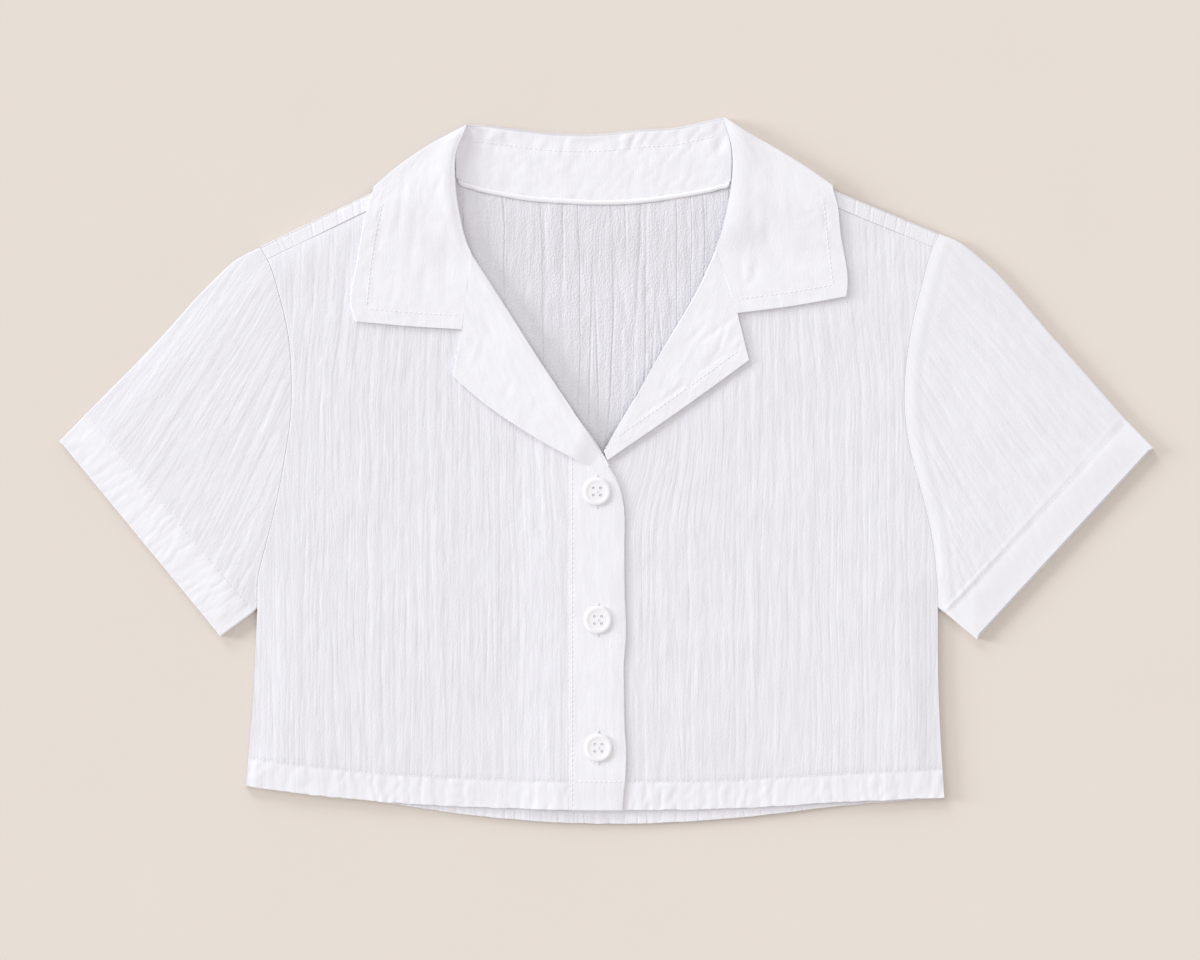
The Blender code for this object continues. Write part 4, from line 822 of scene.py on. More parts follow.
def make_sleeve(side, material):
    """A flattened tube. Its ring goes across the upper layer, round the underarm, back below and round the
    top fold."""
    seed = 400 if side is RIGHT else 500
    levels = np.linspace(side.fold_y - FOLD_RADIUS, side.notch_y + FOLD_RADIUS, 220)
    seam_path = np.column_stack((armhole_x(side, levels) - side.inward * SEAM, levels))
    count = int(round(path_length(seam_path) / (1.25 * COLUMN_STEP)))
    shares = np.linspace(0, 1, count + 1)
    seam_points = along(seam_path, shares)
    band_top, band_under, edge_top, edge_under = (np.array(point) for point in side.band)
    across = (band_under - band_top) / np.linalg.norm(band_under - band_top)
    edge_across = (edge_under - edge_top) / np.linalg.norm(edge_under - edge_top)
    stitched = np.array([band_top + across * FOLD_WIDTH, band_under - across * FOLD_WIDTH])
    edge = np.array([edge_top + edge_across * FOLD_WIDTH, edge_under - edge_across * FOLD_WIDTH])
    stitched_points = along(stitched, shares)
    edge_points = along(edge, shares)
    length = path_length(side.sleeve_top)
    down = spaced(length, ROW_STEP, near_end=False)
    top_fold = inset(along(side.sleeve_top, down), FOLD_WIDTH, 0.5 * (band_top + band_under))
    top_fold[0] = seam_points[0]
    top_fold[-1] = stitched_points[0]
    under_fold = seam_points[-1] + (stitched_points[-1] - seam_points[-1]) * down[:, None]
    body = patch(seam_points, stitched_points, top_fold, under_fold, shares, down)
    band_depth = path_length(side.band[0::2])
    across_band = spaced(band_depth, 2.2, near_start=False)[1:]
    band = stitched_points[:, None] + (edge_points - stitched_points)[:, None] * across_band[None, :, None]
    plan = np.concatenate((body, band), axis=1)
    rows = plan.shape[1]

    width = path_length(side.band[:2])
    place = np.concatenate((down * length, length + across_band * band_depth))
    u = width * shares[:, None] * np.ones(rows)
    v = place[None] * np.ones((count + 1, 1))
    fan = sleeve_fan(side, plan)
    outward = np.array((across[1], -across[0])) * side.inward
    past_seam = (plan - band_top) @ outward
    from_seam = nearest(plan, seam_path)[0]
    on_band = ease((past_seam + 0.8) / 1.4)
    spacing = 6.6 if side is RIGHT else 6.2
    ribs = 0.95 * crinkles(fan[..., 0], fan[..., 1], seed, spacing=spacing) * (1 - on_band)
    strip = np.zeros(plan.shape[:2])
    if side is LEFT:
        strip = ease((12.0 - from_seam) / 5.0)
        ribs = ribs * (1 - strip) * ease((from_seam - 9.0) / 6.0)
        ribs = ribs + strip * ease(from_seam / 5.5) * (0.34 + 0.06 * soft(u, v, 9.0, seed + 5))
    else:
        ribs = ribs * ease((from_seam - 0.3) / 6.0)
    puckers = 0.7 * ridges(u, 2.0 * (v - length), 7.6, seed + 30, meander=0.5)
    puckers = puckers + 0.3 * ridges(u, 3.0 * (v - length), 3.6, seed + 40, meander=0.5)
    band_puckers = (0.42 if side is RIGHT else 0.16) * (puckers - 0.45) + 0.07 * soft(u, v, 5.0, seed + 45)
    relief = on_band * (HEM_RAISE + band_puckers) - 0.12 * bell(past_seam, 0.8)
    if side is LEFT:
        relief = relief + 0.2 * bell(past_seam + 2.6, 1.3)
    uneven = 0.25 * soft(plan[..., 0], plan[..., 1], 38.0, seed + 60)
    relief = relief + uneven * ease(v / 20.0) * (1 - on_band)
    fade = ease(np.minimum(shares, 1 - shares) * width / 3.0)[:, None]
    height = (ribs + relief) * fade + (1 - fade) * on_band * HEM_RAISE
    rise = loft(plan[..., 0], plan[..., 1])
    upper = with_height(plan, FRONT_TOP + rise + height)
    upper_inner = with_height(plan, FRONT_UNDER + rise)
    drawn_back = side.peek * np.clip((v - length) / band_depth, 0, 1) ** 2
    upper[..., :2] -= outward * (drawn_back * fade)[..., None]
    upper_inner[..., :2] -= outward * (drawn_back * fade)[..., None]

    lower_count = count // 2
    columns = np.arange(count + 1)
    lower_columns = np.linspace(count, 0, lower_count + 1)
    low = np.stack([np.interp(lower_columns, columns, plan[:, j, k]) for j in range(rows) for k in range(2)])
    low = low.reshape(rows, 2, -1).transpose(2, 0, 1)
    low_u = (width * lower_columns / count)[:, None] * np.ones(rows)
    low_v = place[None] * np.ones((lower_count + 1, 1))
    low_fade = ease(np.minimum(low_u, width - low_u) / 4.0)
    beneath = np.clip(0.3 - 0.75 * crinkles(low_u, low_v, seed + 80, spacing=8.0), 0, None) * low_fade
    lower = with_height(low, beneath)
    lower_inner = with_height(low, np.full(low.shape[:2], CLOTH))

    def fold(end, neighbour, reach, radius, angles):
        """Rows round a fold, beyond the upper layer's line at the end and away from its neighbour."""
        outwards = directions(plan[end] - plan[neighbour])
        turned = []
        raised = HEM_RAISE * on_band[end]
        for angle in np.radians(angles):
            flat = plan[end] + outwards * reach * math.sin(angle)
            height_there = FOLD_RADIUS + radius * math.cos(angle) + raised * max(0.0, math.cos(angle))
            height_there = height_there + rise[end] * ease(1 - angle / math.pi)
            turned.append(with_height(flat, height_there))
        return np.array(turned)

    def ring(over, beneath, reach, radius):
        """All round one side of the tube's wall."""
        return np.concatenate((over, fold(-1, -2, reach, radius, TURN_ANGLES), beneath,
                               fold(0, 1, reach, radius, TURN_ANGLES[::-1])))

    outer = ring(upper, lower, FOLD_WIDTH, FOLD_RADIUS)
    inner = ring(upper_inner, lower_inner, 0.15 * FOLD_WIDTH, FOLD_RADIUS - CLOTH)
    outer, inner = rounded(outer, inner, "d")
    outer, inner = rounded(outer, inner, "c", side.seam_radius)
    turn = math.pi * FOLD_RADIUS * TURN_ANGLES / 180.0
    turned = turn[:, None, None] * np.array((1.0, 0.0))
    grain = np.concatenate((fan, fan[-1] + turned, sleeve_fan(side, low), fan[0] - turned[::-1]))
    doubling_and_painted_shade = np.broadcast_to(0.25 + 0.65 * on_band[0], outer.shape[:2]).copy()
    doubling_and_painted_shade[:count + 1] = 0.25 + 0.65 * on_band + 0.3 * strip
    # painted shade on the right sleeve's top fold, which faces the lamps
    if side is RIGHT:
        doubling_and_painted_shade[-len(TURN_ANGLES):] = -1.0
    return add_cloth("sleeve_" + side.name + "_cloth", outer, inner, grain, material, closed=True,
                     doubling_and_painted_shade=doubling_and_painted_shade)


# Collar and lapels

LAPEL_SWELL = 0.15       # how plump the right lapel is beside its roll
LAPEL_RISE_RUN = (-100.0, -10.0)     # x over which the right lapel rises with the overlap beneath it
LAPEL_SINK_RUN = 34.0    # of the right lapel's length, in which it comes down to the button band
LEAF_SWELL = {"right": (0.5, 7.0, 8.0), "left": (1.3, 8.0, 12.0)}     # height, and where and how wide it is
# from an edge or fold to the stitches beside it
LAPEL_STITCH = 9.2
LEAF_STITCH = 9.1
BAND_STITCH = 11.2
STAND = 45.0             # about how high the collar's stand is, for its rows
FALL_ROWS = 20


def hooked_columns(plan, top, low, edge_line, reach_share=1.0):
    """Columns that turn down from the last column of a plan, out to an edge line and back under."""
    outward = directions(plan[:, -1] - plan[:, -2])
    radius = (top - low) / 2
    centre = (top + low) / 2
    beside = nearest(plan[:, -1], edge_line)[0]
    sides = []
    for inwards in (0.0, COLLAR_CLOTH):
        reach = np.maximum(beside - inwards, 0.25 * beside) * reach_share
        columns = []
        for angle in np.radians(np.append(TURN_ANGLES, 180.0)):
            flat = plan[:, -1] + outward * (reach * math.sin(angle))[:, None]
            columns.append(with_height(flat, centre + (radius - inwards) * math.cos(angle)))
        columns.append(with_height(plan[:, -1] - outward * HOOK_RETURN, centre - radius + inwards))
        sides.append(np.stack(columns, axis=1))
    return sides


def turned_relief(plan, u, v, seed, creased):
    """Unevenness of the stiffened cloth of the collar and lapels, and faint creases of the height creased."""
    creases = ridges(u, v, 8.5, seed, meander=0.8) - 0.4
    mottle = 0.16 * soft(plan[..., 0], plan[..., 1], 15.0, seed + 7) + 0.06 * soft(u, v, 5.0, seed + 8)
    return creased * creases + mottle + 0.02 * noise(u / 2.2, v / 3.0, seed + 9)


def make_lapel(side, material):
    """A lapel: rolled out along the neck opening, joined to the collar along the gorge."""
    lapel = side.lapel
    seed = 600 if side is RIGHT else 650
    row_shares = spaced(path_length(lapel.roll), 1.7)
    tip = np.array(lapel.lower[0])
    gorge = np.array(lapel.gorge, float)
    gorge[:, 0] += side.inward * SEAM
    across = spaced(path_length([tip, *gorge]), 1.5, near_end=False)
    first = along(np.concatenate(([tip], gorge)), across, smooth=False)
    lower = along(lapel.lower, row_shares)
    roll = inset(along(lapel.roll, row_shares), HOOK_WIDTH, lower[len(lower) // 2])
    first[-1] = roll[0] = gorge[1] + (roll[1] - roll[0]) * 0.02
    end = along(lapel.end[::-1], across)
    end[0] = lower[-1]
    end[-1] = roll[-1]
    plan = patch(lower, roll, first, end, row_shares, across)
    x, y = plan[..., 0], plan[..., 1]
    lift = fall_lift(x, y)
    if side is RIGHT:
        lift = lift + OVERLAP_RISE * ease((x - LAPEL_RISE_RUN[0]) / (LAPEL_RISE_RUN[1] - LAPEL_RISE_RUN[0]))
    under = TURNED_UNDER + lift + loft(x, y)
    low = FRONT_UNDER + lift[:, -1] + HOOK_CLEAR
    run = path_length(lapel.roll)
    wide = np.linalg.norm(lower - roll, axis=1)[:, None]
    u = wide * (1 - across[None])
    v = run * row_shares[:, None] * np.ones(x.shape)
    relief = turned_relief(plan, u + 0.15 * v, v, seed, 0.08 if side is LEFT else 0.05)
    relief = relief + hand_creases("lapel_" + side.name, plan)
    for line in lapel_lines(side):
        relief = relief + sewn(plan, line, seed + 20, groove=0.05, pucker=0.14)
    swell = LAPEL_SWELL if side is RIGHT else 0.0
    relief = (relief + swell * bell(u - 5.0, 6.0)) * ease(u / 5.0)
    top_height = under + COLLAR_CLOTH + relief
    thickness = COLLAR_CLOTH * np.ones(x.shape)
    sink = np.zeros(x.shape)
    if side is RIGHT:
        # the lapel runs on into the button band without an end of its own
        sink = ease((v - run + LAPEL_SINK_RUN) / (LAPEL_SINK_RUN - 3.0))
        top_height = (1 - sink) * top_height + sink * (PLACKET_TOP + loft(x, y) - 0.4)
        thickness = (1 - sink) * thickness + sink * 0.45
        low = (1 - sink[:, -1]) * low + sink[:, -1] * (top_height[:, -1] - 0.6)
    top = with_height(plan, top_height)
    bottom = with_height(plan, top_height - thickness)
    edge_line = along(lapel.roll, np.linspace(0, 1, 60))
    hook_top, hook_bottom = hooked_columns(plan, top_height[:, -1], low, edge_line, 1 - 0.9 * sink[:, -1])
    top = np.concatenate((top, hook_top), axis=1)
    bottom = np.concatenate((bottom, hook_bottom), axis=1)
    top, bottom = rounded(top, bottom, "cd")
    top, bottom = rounded(top, bottom, "ab", SEAM_RADIUS)
    hook_v = np.repeat(v[:, -1:], hook_top.shape[1], axis=1)
    hook_u = -np.arange(1, hook_top.shape[1] + 1)[None] * 0.6 * np.ones((len(x), 1))
    grain = np.stack((np.concatenate((u, hook_u), axis=1), np.concatenate((v, hook_v), axis=1)), axis=-1)
    present = np.ones((len(x) - 1, top.shape[1] - 1), bool)
    present[-3:, x.shape[1] - 1:] = False
    doubling_and_painted_shade = np.zeros(top.shape[:2])
    # painted shade on the left lapel's roll, which faces the lamps
    if side is LEFT:
        doubling_and_painted_shade[:, x.shape[1]:] = -1.0
    return add_cloth("lapel_" + side.name + "_cloth", top, bottom, grain, material, present, doubling_and_painted_shade=doubling_and_painted_shade)


def lapel_lines(side):
    """Sewn lines on a lapel."""
    if side is RIGHT:
        return []
    lower = along(side.lapel.lower, np.linspace(0.02, 0.9, 20))
    return [inset(lower, LAPEL_STITCH, side.lapel.roll[0])]


def leaf_lines(side):
    """Sewn lines on a leaf, along its outer edge and its lower edge."""
    leaf = side.leaf
    middle = (side.inward * -125.0, 150.0)
    outer = inset(along(leaf.outer[1:], np.linspace(0.06, 0.9, 14)), LEAF_STITCH, middle)
    bottom = inset(along(leaf.bottom, np.linspace(0.11, 0.98, 10)), LEAF_STITCH, middle)
    return [outer, bottom]


def above_gorge(side, levels):
    """Points of the roll above the gorge, where it runs on from the lapel's without a corner."""
    lapel_point = along(side.lapel.roll, (0.12,))[0]
    path = [tuple(lapel_point), *side.leaf.inner[1:]]
    x = through([(row[1], row[0]) for row in path], levels)
    return np.stack((x, np.broadcast_to(levels, np.shape(x))), axis=-1)


def make_leaf(side, material):
    """A front end of the collar: the leaf, its turn over the shoulder, and the start of the fall beneath."""
    leaf = side.leaf
    seed = 700 if side is RIGHT else 750
    run = path_length(leaf.inner)
    row_shares = spaced(run, 1.7, near_end=False)
    across = spaced(path_length(leaf.bottom), 1.5)
    inner = along(leaf.inner, row_shares)
    gorge_end = np.array(leaf.inner[1])
    at_gorge = int(np.argmin(np.abs(inner[:, 1] - leaf.gorge_y)))
    straight = row_shares[:at_gorge + 1] / row_shares[at_gorge]
    inner[:at_gorge + 1] = along((leaf.inner[0], gorge_end), straight)
    inner[at_gorge:] = above_gorge(side, inner[at_gorge:, 1])
    eased = ease((np.arange(len(inner)) - at_gorge) / 5.0)
    inner_edge = inset(inner, SEAM + (HOOK_WIDTH - SEAM) * eased, front_middle(side))
    wrap = along(leaf.wrap, across)
    turn_line = inset(wrap, WRAP_WIDTH, front_middle(side))
    outer = along(leaf.outer, row_shares)
    near_turn = ease((row_shares - 1) * run / 30.0 + 1)[:, None]
    inner_edge += near_turn * (turn_line[-1] - inner_edge[-1])
    outer += near_turn * (turn_line[0] - outer[-1])
    bottom_edge = along(leaf.bottom, across)
    bottom_edge[0] = outer[0]
    bottom_edge[-1] = inner_edge[0]
    plan = patch(outer, inner_edge, bottom_edge, turn_line, row_shares, across)
    x, y = plan[..., 0], plan[..., 1]
    width = path_length(leaf.bottom)
    u = width * across[None] * np.ones(x.shape)
    v = run * row_shares[:, None] * np.ones(x.shape)
    relief = turned_relief(plan, u, v, seed, 0.09) + hand_creases("collar_leaf_" + side.name, plan)
    for number, line in enumerate(leaf_lines(side)):
        relief = relief + sewn(plan, line, seed + 20 + number, groove=0.05, pucker=0.2, reach=5.0)
    swell, crown, reach = LEAF_SWELL[side.name]
    past_gorge = v - run * row_shares[at_gorge]
    swell = swell * bell(width - u - crown, reach) * ease(past_gorge / 20.0)
    fade = ease((run - v) / 6.0) * ease((width - u) / 4.0 + (past_gorge < 0))
    under = TURNED_UNDER + fall_lift(x, y) + loft(x, y)
    if side is RIGHT:
        relief = relief + swell
    else:
        under = under + swell
    top_height = under + COLLAR_CLOTH + relief * fade
    top = with_height(plan, top_height)
    bottom = with_height(plan, under)
    low = FRONT_UNDER + fall_lift(x[:, -1], y[:, -1]) + HOOK_CLEAR
    edge_line = np.concatenate((inner[at_gorge::3], inner[-1:]))
    hook_top, hook_bottom = hooked_columns(plan, top_height[:, -1], low, edge_line)
    top = np.concatenate((top, hook_top), axis=1)
    bottom = np.concatenate((bottom, hook_bottom), axis=1)

    outward = directions(wrap - turn_line)
    radius = top_height[-1] / 2
    turned_top = []
    turned_bottom = []
    for angle in np.radians(TURN_ANGLES):
        for inwards, rows in ((0.0, turned_top), (COLLAR_CLOTH, turned_bottom)):
            flat = turn_line + outward * (WRAP_WIDTH - 0.8 * inwards) * math.sin(angle)
            rows.append(with_height(flat, radius + (radius - inwards) * math.cos(angle)))
    join_top = float(np.interp(leaf.join_x, *np.array(COLLAR_TOP).T)) - COLLAR_ROLL_RADIUS
    fall_y = float(fall_edge(leaf.join_x))
    join = np.column_stack((np.full(len(across), leaf.join_x), fall_y + (join_top - fall_y) * across))
    for share in np.linspace(0, 1, 12):
        flat = (1 - share) * turn_line + share * join
        flat[0, 1] = (1 - share) * turn_line[0, 1] + share * join[0, 1]
        turned_top.append(with_height(flat, np.zeros(len(across))))
        turned_bottom.append(with_height(flat, np.full(len(across), COLLAR_CLOTH)))
    filler = np.zeros((len(turned_top), hook_top.shape[1], 3))
    turned_top = np.concatenate((np.array(turned_top), filler), axis=1)
    turned_bottom = np.concatenate((np.array(turned_bottom), filler), axis=1)
    cells = len(across) - 1
    present = np.zeros((len(top) + len(turned_top) - 1, top.shape[1] - 1), bool)
    present[:, :cells] = True
    present[at_gorge:len(top) - 1, cells:] = True
    beyond = v[-1, 0] + 1.0 * np.arange(1, len(turned_top) + 1)
    grain_v = np.concatenate((v[:, 0], beyond))
    top = np.concatenate((top, turned_top))
    bottom = np.concatenate((bottom, turned_bottom))
    top, bottom = rounded(top, bottom, "ac")
    count = len(across)
    below_gorge = (slice(0, at_gorge + 1), slice(0, count))
    top[below_gorge], bottom[below_gorge] = rounded(top[below_gorge], bottom[below_gorge], "d", SEAM_RADIUS)
    grain_u = np.concatenate((width * across, width + 0.6 * np.arange(1, top.shape[1] - count + 1)))
    grain = np.stack(np.broadcast_arrays(grain_u[None], grain_v[:, None]), axis=-1)
    doubling_and_painted_shade = np.zeros(top.shape[:2])
    # painted shade on the right leaf's lower edge and its turn over the shoulder, and on the left leaf's
    # roll, which faces the lamps
    if side is RIGHT:
        doubling_and_painted_shade[0] = -1.0
        doubling_and_painted_shade[len(x):len(x) + len(TURN_ANGLES)] = -1.0
    else:
        doubling_and_painted_shade[:, count:] = -1.0
    return add_cloth("collar_leaf_" + side.name + "_cloth", top, bottom, grain, material, present,
                     doubling_and_painted_shade=doubling_and_painted_shade)


def between_rolls(levels):
    """First and last x of the stand, between the leaves' rolls at the y of each."""
    first = float(above_gorge(RIGHT, levels[0])[0]) + 2 * SEAM
    last = float(above_gorge(LEFT, levels[1])[0]) - 2 * SEAM
    return np.array((first, last))


def band_line():
    """Sewn line round the back of the collar."""
    x = np.linspace(-86.0, 70.0, 30)
    return np.column_stack((x, through(COLLAR_TOP, x) - BAND_STITCH))


def make_collar_back(material):
    """The collar round the back of the neck: the stand, the roll at its top and the fall under the back."""
    seed = 800
    fall_ends = np.array((RIGHT.leaf.join_x + 2 * SEAM, LEFT.leaf.join_x - 2 * SEAM))
    shares = spaced(fall_ends[1] - fall_ends[0], 1.3)
    roll_x = fall_ends[0] + shares * (fall_ends[1] - fall_ends[0])
    top_y = through(COLLAR_TOP, roll_x) - COLLAR_ROLL_RADIUS
    outside = []
    inside = []
    for share in np.linspace(0.0, 1.0, FALL_ROWS):
        y = (1 - share) * fall_edge(roll_x) + share * top_y
        beneath = 0.12 * (1 - ridges(roll_x, y, 9.0, seed + 40)) * ease(share * 6) * ease((1 - share) * 6)
        outside.append(np.column_stack((roll_x, y, np.clip(beneath, 0, None))))
        inside.append(np.column_stack((roll_x, y, np.full(len(shares), COLLAR_CLOTH))))
    for angle in np.radians(TURN_ANGLES):
        widened = ease(angle / math.radians(80.0))
        ends = (1 - widened) * fall_ends + widened * between_rolls(top_y[[0, -1]])
        x = ends[0] + shares * (ends[1] - ends[0])
        y = through(COLLAR_TOP, x) - COLLAR_ROLL_RADIUS
        for radius, rows in ((COLLAR_ROLL_RADIUS, outside), (COLLAR_ROLL_RADIUS - COLLAR_CLOTH, inside)):
            height = np.full(len(shares), COLLAR_ROLL_RADIUS - radius * math.cos(angle))
            rows.append(np.column_stack((x, y + radius * math.sin(angle), height)))
    for share in spaced(STAND, 1.6, near_start=False):
        level = (1 - share) * top_y[[0, -1]] + share * (through(NECK_SEAM, roll_x[[0, -1]]) + 2.0)
        ends = between_rolls(level)
        x = ends[0] + shares * (ends[1] - ends[0])
        neck = through(NECK_SEAM, x) + 3 * SEAM
        y = (1 - share) * (through(COLLAR_TOP, x) - COLLAR_ROLL_RADIUS) + share * neck
        height = (1 - share) * 2 * COLLAR_ROLL_RADIUS + share * (FALL_LIFT + COLLAR_CLOTH)
        outside.append(np.column_stack((x, y, np.full(len(x), height))))
        inside.append(np.column_stack((x, y, np.full(len(x), height - COLLAR_CLOTH))))
    outer = np.stack(outside, axis=1)
    inner = np.stack(inside, axis=1)
    first = FALL_ROWS + len(TURN_ANGLES)
    plan = outer[:, first:, :2]
    below = through(COLLAR_TOP, plan[..., 0]) - plan[..., 1]
    puckers = ridges(plan[..., 0] + 0.1 * below, 1.5 * below, 10.5, seed, meander=0.7, crest=2.4) - 0.45
    strength = 0.3 + 0.5 * bell(below - 6.0, 7.0)
    relief = strength * puckers + 0.16 * soft(plan[..., 0], plan[..., 1], 10.0, seed + 5)
    relief = relief + sewn(plan, band_line(), seed + 20, groove=0.06, pucker=0.22, reach=6.0)
    relief = relief + hand_creases("collar_back", plan)
    outer[:, first:, 2] += relief * ease((below - 1.0) / 3.0)
    outer, inner = rounded(outer, inner, "cd")
    outer, inner = rounded(outer, inner, "ab", SEAM_RADIUS)
    grain = np.stack(np.broadcast_arrays(roll_x[:, None], travelled(outer[10])[None]), axis=-1)
    doubling_and_painted_shade = np.zeros(outer.shape[:2])
    # painted shade on the roll at the collar's top, which faces the upper lamp
    doubling_and_painted_shade[:, FALL_ROWS:first] = -0.6
    return add_cloth("collar_back_cloth", outer, inner, grain, material, doubling_and_painted_shade=doubling_and_painted_shade)


def make_neck_tape(material):
    """Piped binding over the back neck seam."""
    x = np.linspace(*TAPE_ENDS, 150)
    y = through(NECK_SEAM, x)
    base = fall_lift(x, y) + COLLAR_CLOTH + GAP
    turns = np.radians(np.linspace(-90.0, 90.0, 13))
    swell = 1 + 0.05 * noise(x / 4.0, 0.0, 850)
    top = []
    bottom = []
    for turn in turns:
        beside = y + TAPE_WIDTH / 2 * math.sin(turn) * swell
        top.append(np.column_stack((x, beside, base + TAPE_THICK * math.cos(turn) * swell)))
        bottom.append(np.column_stack((x, beside, base - 0.05)))
    top = np.stack(top, axis=1)
    bottom = np.stack(bottom, axis=1)
    grain = np.stack(np.broadcast_arrays(x[:, None], (TAPE_WIDTH * turns / 2)[None]), axis=-1)
    return add_cloth("neck_tape_cloth", top, bottom, grain, material)


# The button band

PLACKET_STITCH = 2.2     # from the band's seam to its stitches


def placket_line():
    """Sewn line down the band, beside its seam."""
    y = np.linspace(22.0, -218.0, 60)
    return np.column_stack((np.full(len(y), PLACKET_SEAM_X + PLACKET_STITCH), y))


def make_placket(material):
    """The button band, its top tucked under the right lapel."""
    seed = 900
    start = PLACKET_SEAM_X + SEAM
    shares = spaced(PLACKET_EDGE_X - start, 1.2)
    section = np.interp(shares, *np.array(PLACKET_SECTION).T)
    columns = start + shares * (PLACKET_EDGE_X - start)
    top_y = np.interp(columns, *np.array(PLACKET_TOP_EDGE).T)
    hem = through(FRONT_HEM, columns) - PLACKET_DROP
    straight = spaced(PLACKET_STRAIGHT, 2.3, near_end=False) * PLACKET_STRAIGHT
    levels = hem[:, None] + straight[None]
    upper = np.linspace(0, 1, 22)[1:]
    y = np.concatenate((levels, levels[:, -1:] + (top_y[:, None] - levels[:, -1:]) * upper[None]), axis=1)
    wander = through(PLACKET_EDGE, y[-1]) - PLACKET_EDGE_X + 0.3 * noise(y[-1] / 14.0, 0.0, seed)
    x = columns[:, None] + shares[:, None] ** 2 * wander[None]
    plan = np.stack((x, y), axis=-1)
    from_seam = x - PLACKET_SEAM_X
    relief = 0.1 * (ridges(x, y, 5.5, seed + 1, meander=0.5) - 0.4)
    relief = relief + 0.16 * soft(x * 0.6, y, 16.0, seed + 2)
    side_puckers = noise(y / 6.5, x / 30.0, seed + 3) * bell(PLACKET_EDGE_X - x, 5.0)
    relief = relief + 0.16 * side_puckers
    seam_puckers = noise(y / 5.0, x / 30.0, seed + 4) * bell(from_seam - 1.0, 4.0)
    relief = relief + 0.1 * seam_puckers - 0.03 * bell(from_seam - PLACKET_STITCH, 0.8)
    above_edge = y - hem[:, None]
    relief = relief - 0.06 * bell(above_edge - HEM_DEPTH, 0.9)
    for button in BUTTONS:
        distance = np.hypot(x - button.x, y - button.y)
        relief = relief - BUTTON_DIMPLE * np.exp(-(distance / 9.6) ** 8)
    under = PLACKET_UNDER + loft(x, y)
    top = with_height(plan, under + section[:, None] + np.minimum(relief, 0.25))
    bottom = with_height(plan, under)
    top, bottom = rounded(top, bottom, "bcd")
    top, bottom = rounded(top, bottom, "a", SEAM_RADIUS)
    return add_cloth("placket_cloth", top, bottom, plan.copy(), material)


# Stitches and buttonholes

STITCH_LENGTH = 2.5
STITCH_GAP = 0.7
THREAD_RADIUS = 0.19
THREAD_RISE = 0.05       # how far a stitch's ends lie over the cloth
HEM_THREAD_RADIUS = 0.12


class Threads:
    """Short threads gathered into one mesh."""

    def __init__(self):
        self.points = []
        self.faces = []

    def add(self, start, end, radius=THREAD_RADIUS, arch=0.18, sides=6, rings=5):
        """One stitch between two points in mm, arched up and tapered into the cloth at both ends."""
        start, end = np.asarray(start, float), np.asarray(end, float)
        step = (end - start) / np.linalg.norm(end - start)
        side = np.cross(step, (0.0, 0.0, 1.0))
        side /= np.linalg.norm(side)
        up = np.cross(side, step)
        first = len(self.points)
        for ring in range(rings):
            share = ring / (rings - 1)
            bulge = math.sin(math.pi * share)
            middle = start + share * (end - start) + up * (arch * bulge - arch * 0.6)
            reach = radius * (0.45 + 0.55 * bulge ** 0.5)
            for k in range(sides):
                turn = 2 * math.pi * k / sides
                self.points.append(middle + reach * (math.cos(turn) * side + math.sin(turn) * up))
        for ring in range(rings - 1):
            for k in range(sides):
                a = first + ring * sides + k
                b = first + ring * sides + (k + 1) % sides
                self.faces.append((a, a + sides, b + sides, b))
        self.faces.append(tuple(first + k for k in range(sides)))
        self.faces.append(tuple(first + (rings - 1) * sides + k for k in range(sides))[::-1])

    def run(self, line, surface, radius):
        """A row of stitches along a line, laid on a piece's surface."""
        total = path_length(line)
        pitch = STITCH_LENGTH + STITCH_GAP
        for k in range(int(total / pitch)):
            place = (k + 0.5) * pitch
            ends = along(line, [(place - STITCH_LENGTH / 2) / total, (place + STITCH_LENGTH / 2) / total])
            heights = [surface(x, y) for x, y in ends]
            if None not in heights:
                start, end = ((*point, height + THREAD_RISE) for point, height in zip(ends, heights))
                self.add(start, end, radius, arch=0.1)

    def finish(self, name, material):
        return add_mesh(name, self.points, self.faces, material)


def surface_of(piece):
    """A function that gives the height of a piece's upper side at x, y, in mm, or None beside it."""
    mesh = piece.data
    tree = BVHTree.FromPolygons([vertex.co for vertex in mesh.vertices],
                                [polygon.vertices[:] for polygon in mesh.polygons])

    def height(x, y):
        hit = tree.ray_cast(Vector((x * MM, y * MM, 0.05)), Vector((0.0, 0.0, -1.0)))[0]
        return None if hit is None else hit.z / MM
    return height


def sew(pieces, material):
    """All rows of stitches, one mesh for each piece of cloth that carries them."""
    made = []

    def rows(key, lines, radius=THREAD_RADIUS):
        threads = Threads()
        surface = surface_of(pieces[key])
        for line in lines:
            threads.run(line, surface, radius)
        made.append(threads.finish("stitches_" + key.replace("collar_leaf", "leaf"), material))

    rows("front_right", [hem_line(-231.0, PLACKET_SEAM_X - 1.5)], HEM_THREAD_RADIUS)
    rows("front_left", [hem_line(217.0, PLACKET_EDGE_X + 2.0)], HEM_THREAD_RADIUS)
    for side in (RIGHT, LEFT):
        start, end = np.array(side.band[:2])
        step = (end - start) / np.linalg.norm(end - start)
        rows("sleeve_" + side.name, [np.array([start + 3 * step, end - 3 * step])], HEM_THREAD_RADIUS)
        rows("collar_leaf_" + side.name, leaf_lines(side))
    rows("lapel_left", lapel_lines(LEFT))
    rows("collar_back", [band_line()])
    rows("placket", [placket_line(), hem_line(PLACKET_SEAM_X + 3.0, PLACKET_EDGE_X - 1.0, count=8)])
    return made


BUTTONHOLE_LENGTH = 20.6
BUTTONHOLE_HALF_WIDTH = 0.4
BUTTONHOLE_PITCH = 0.5   # of the stitches along its lips


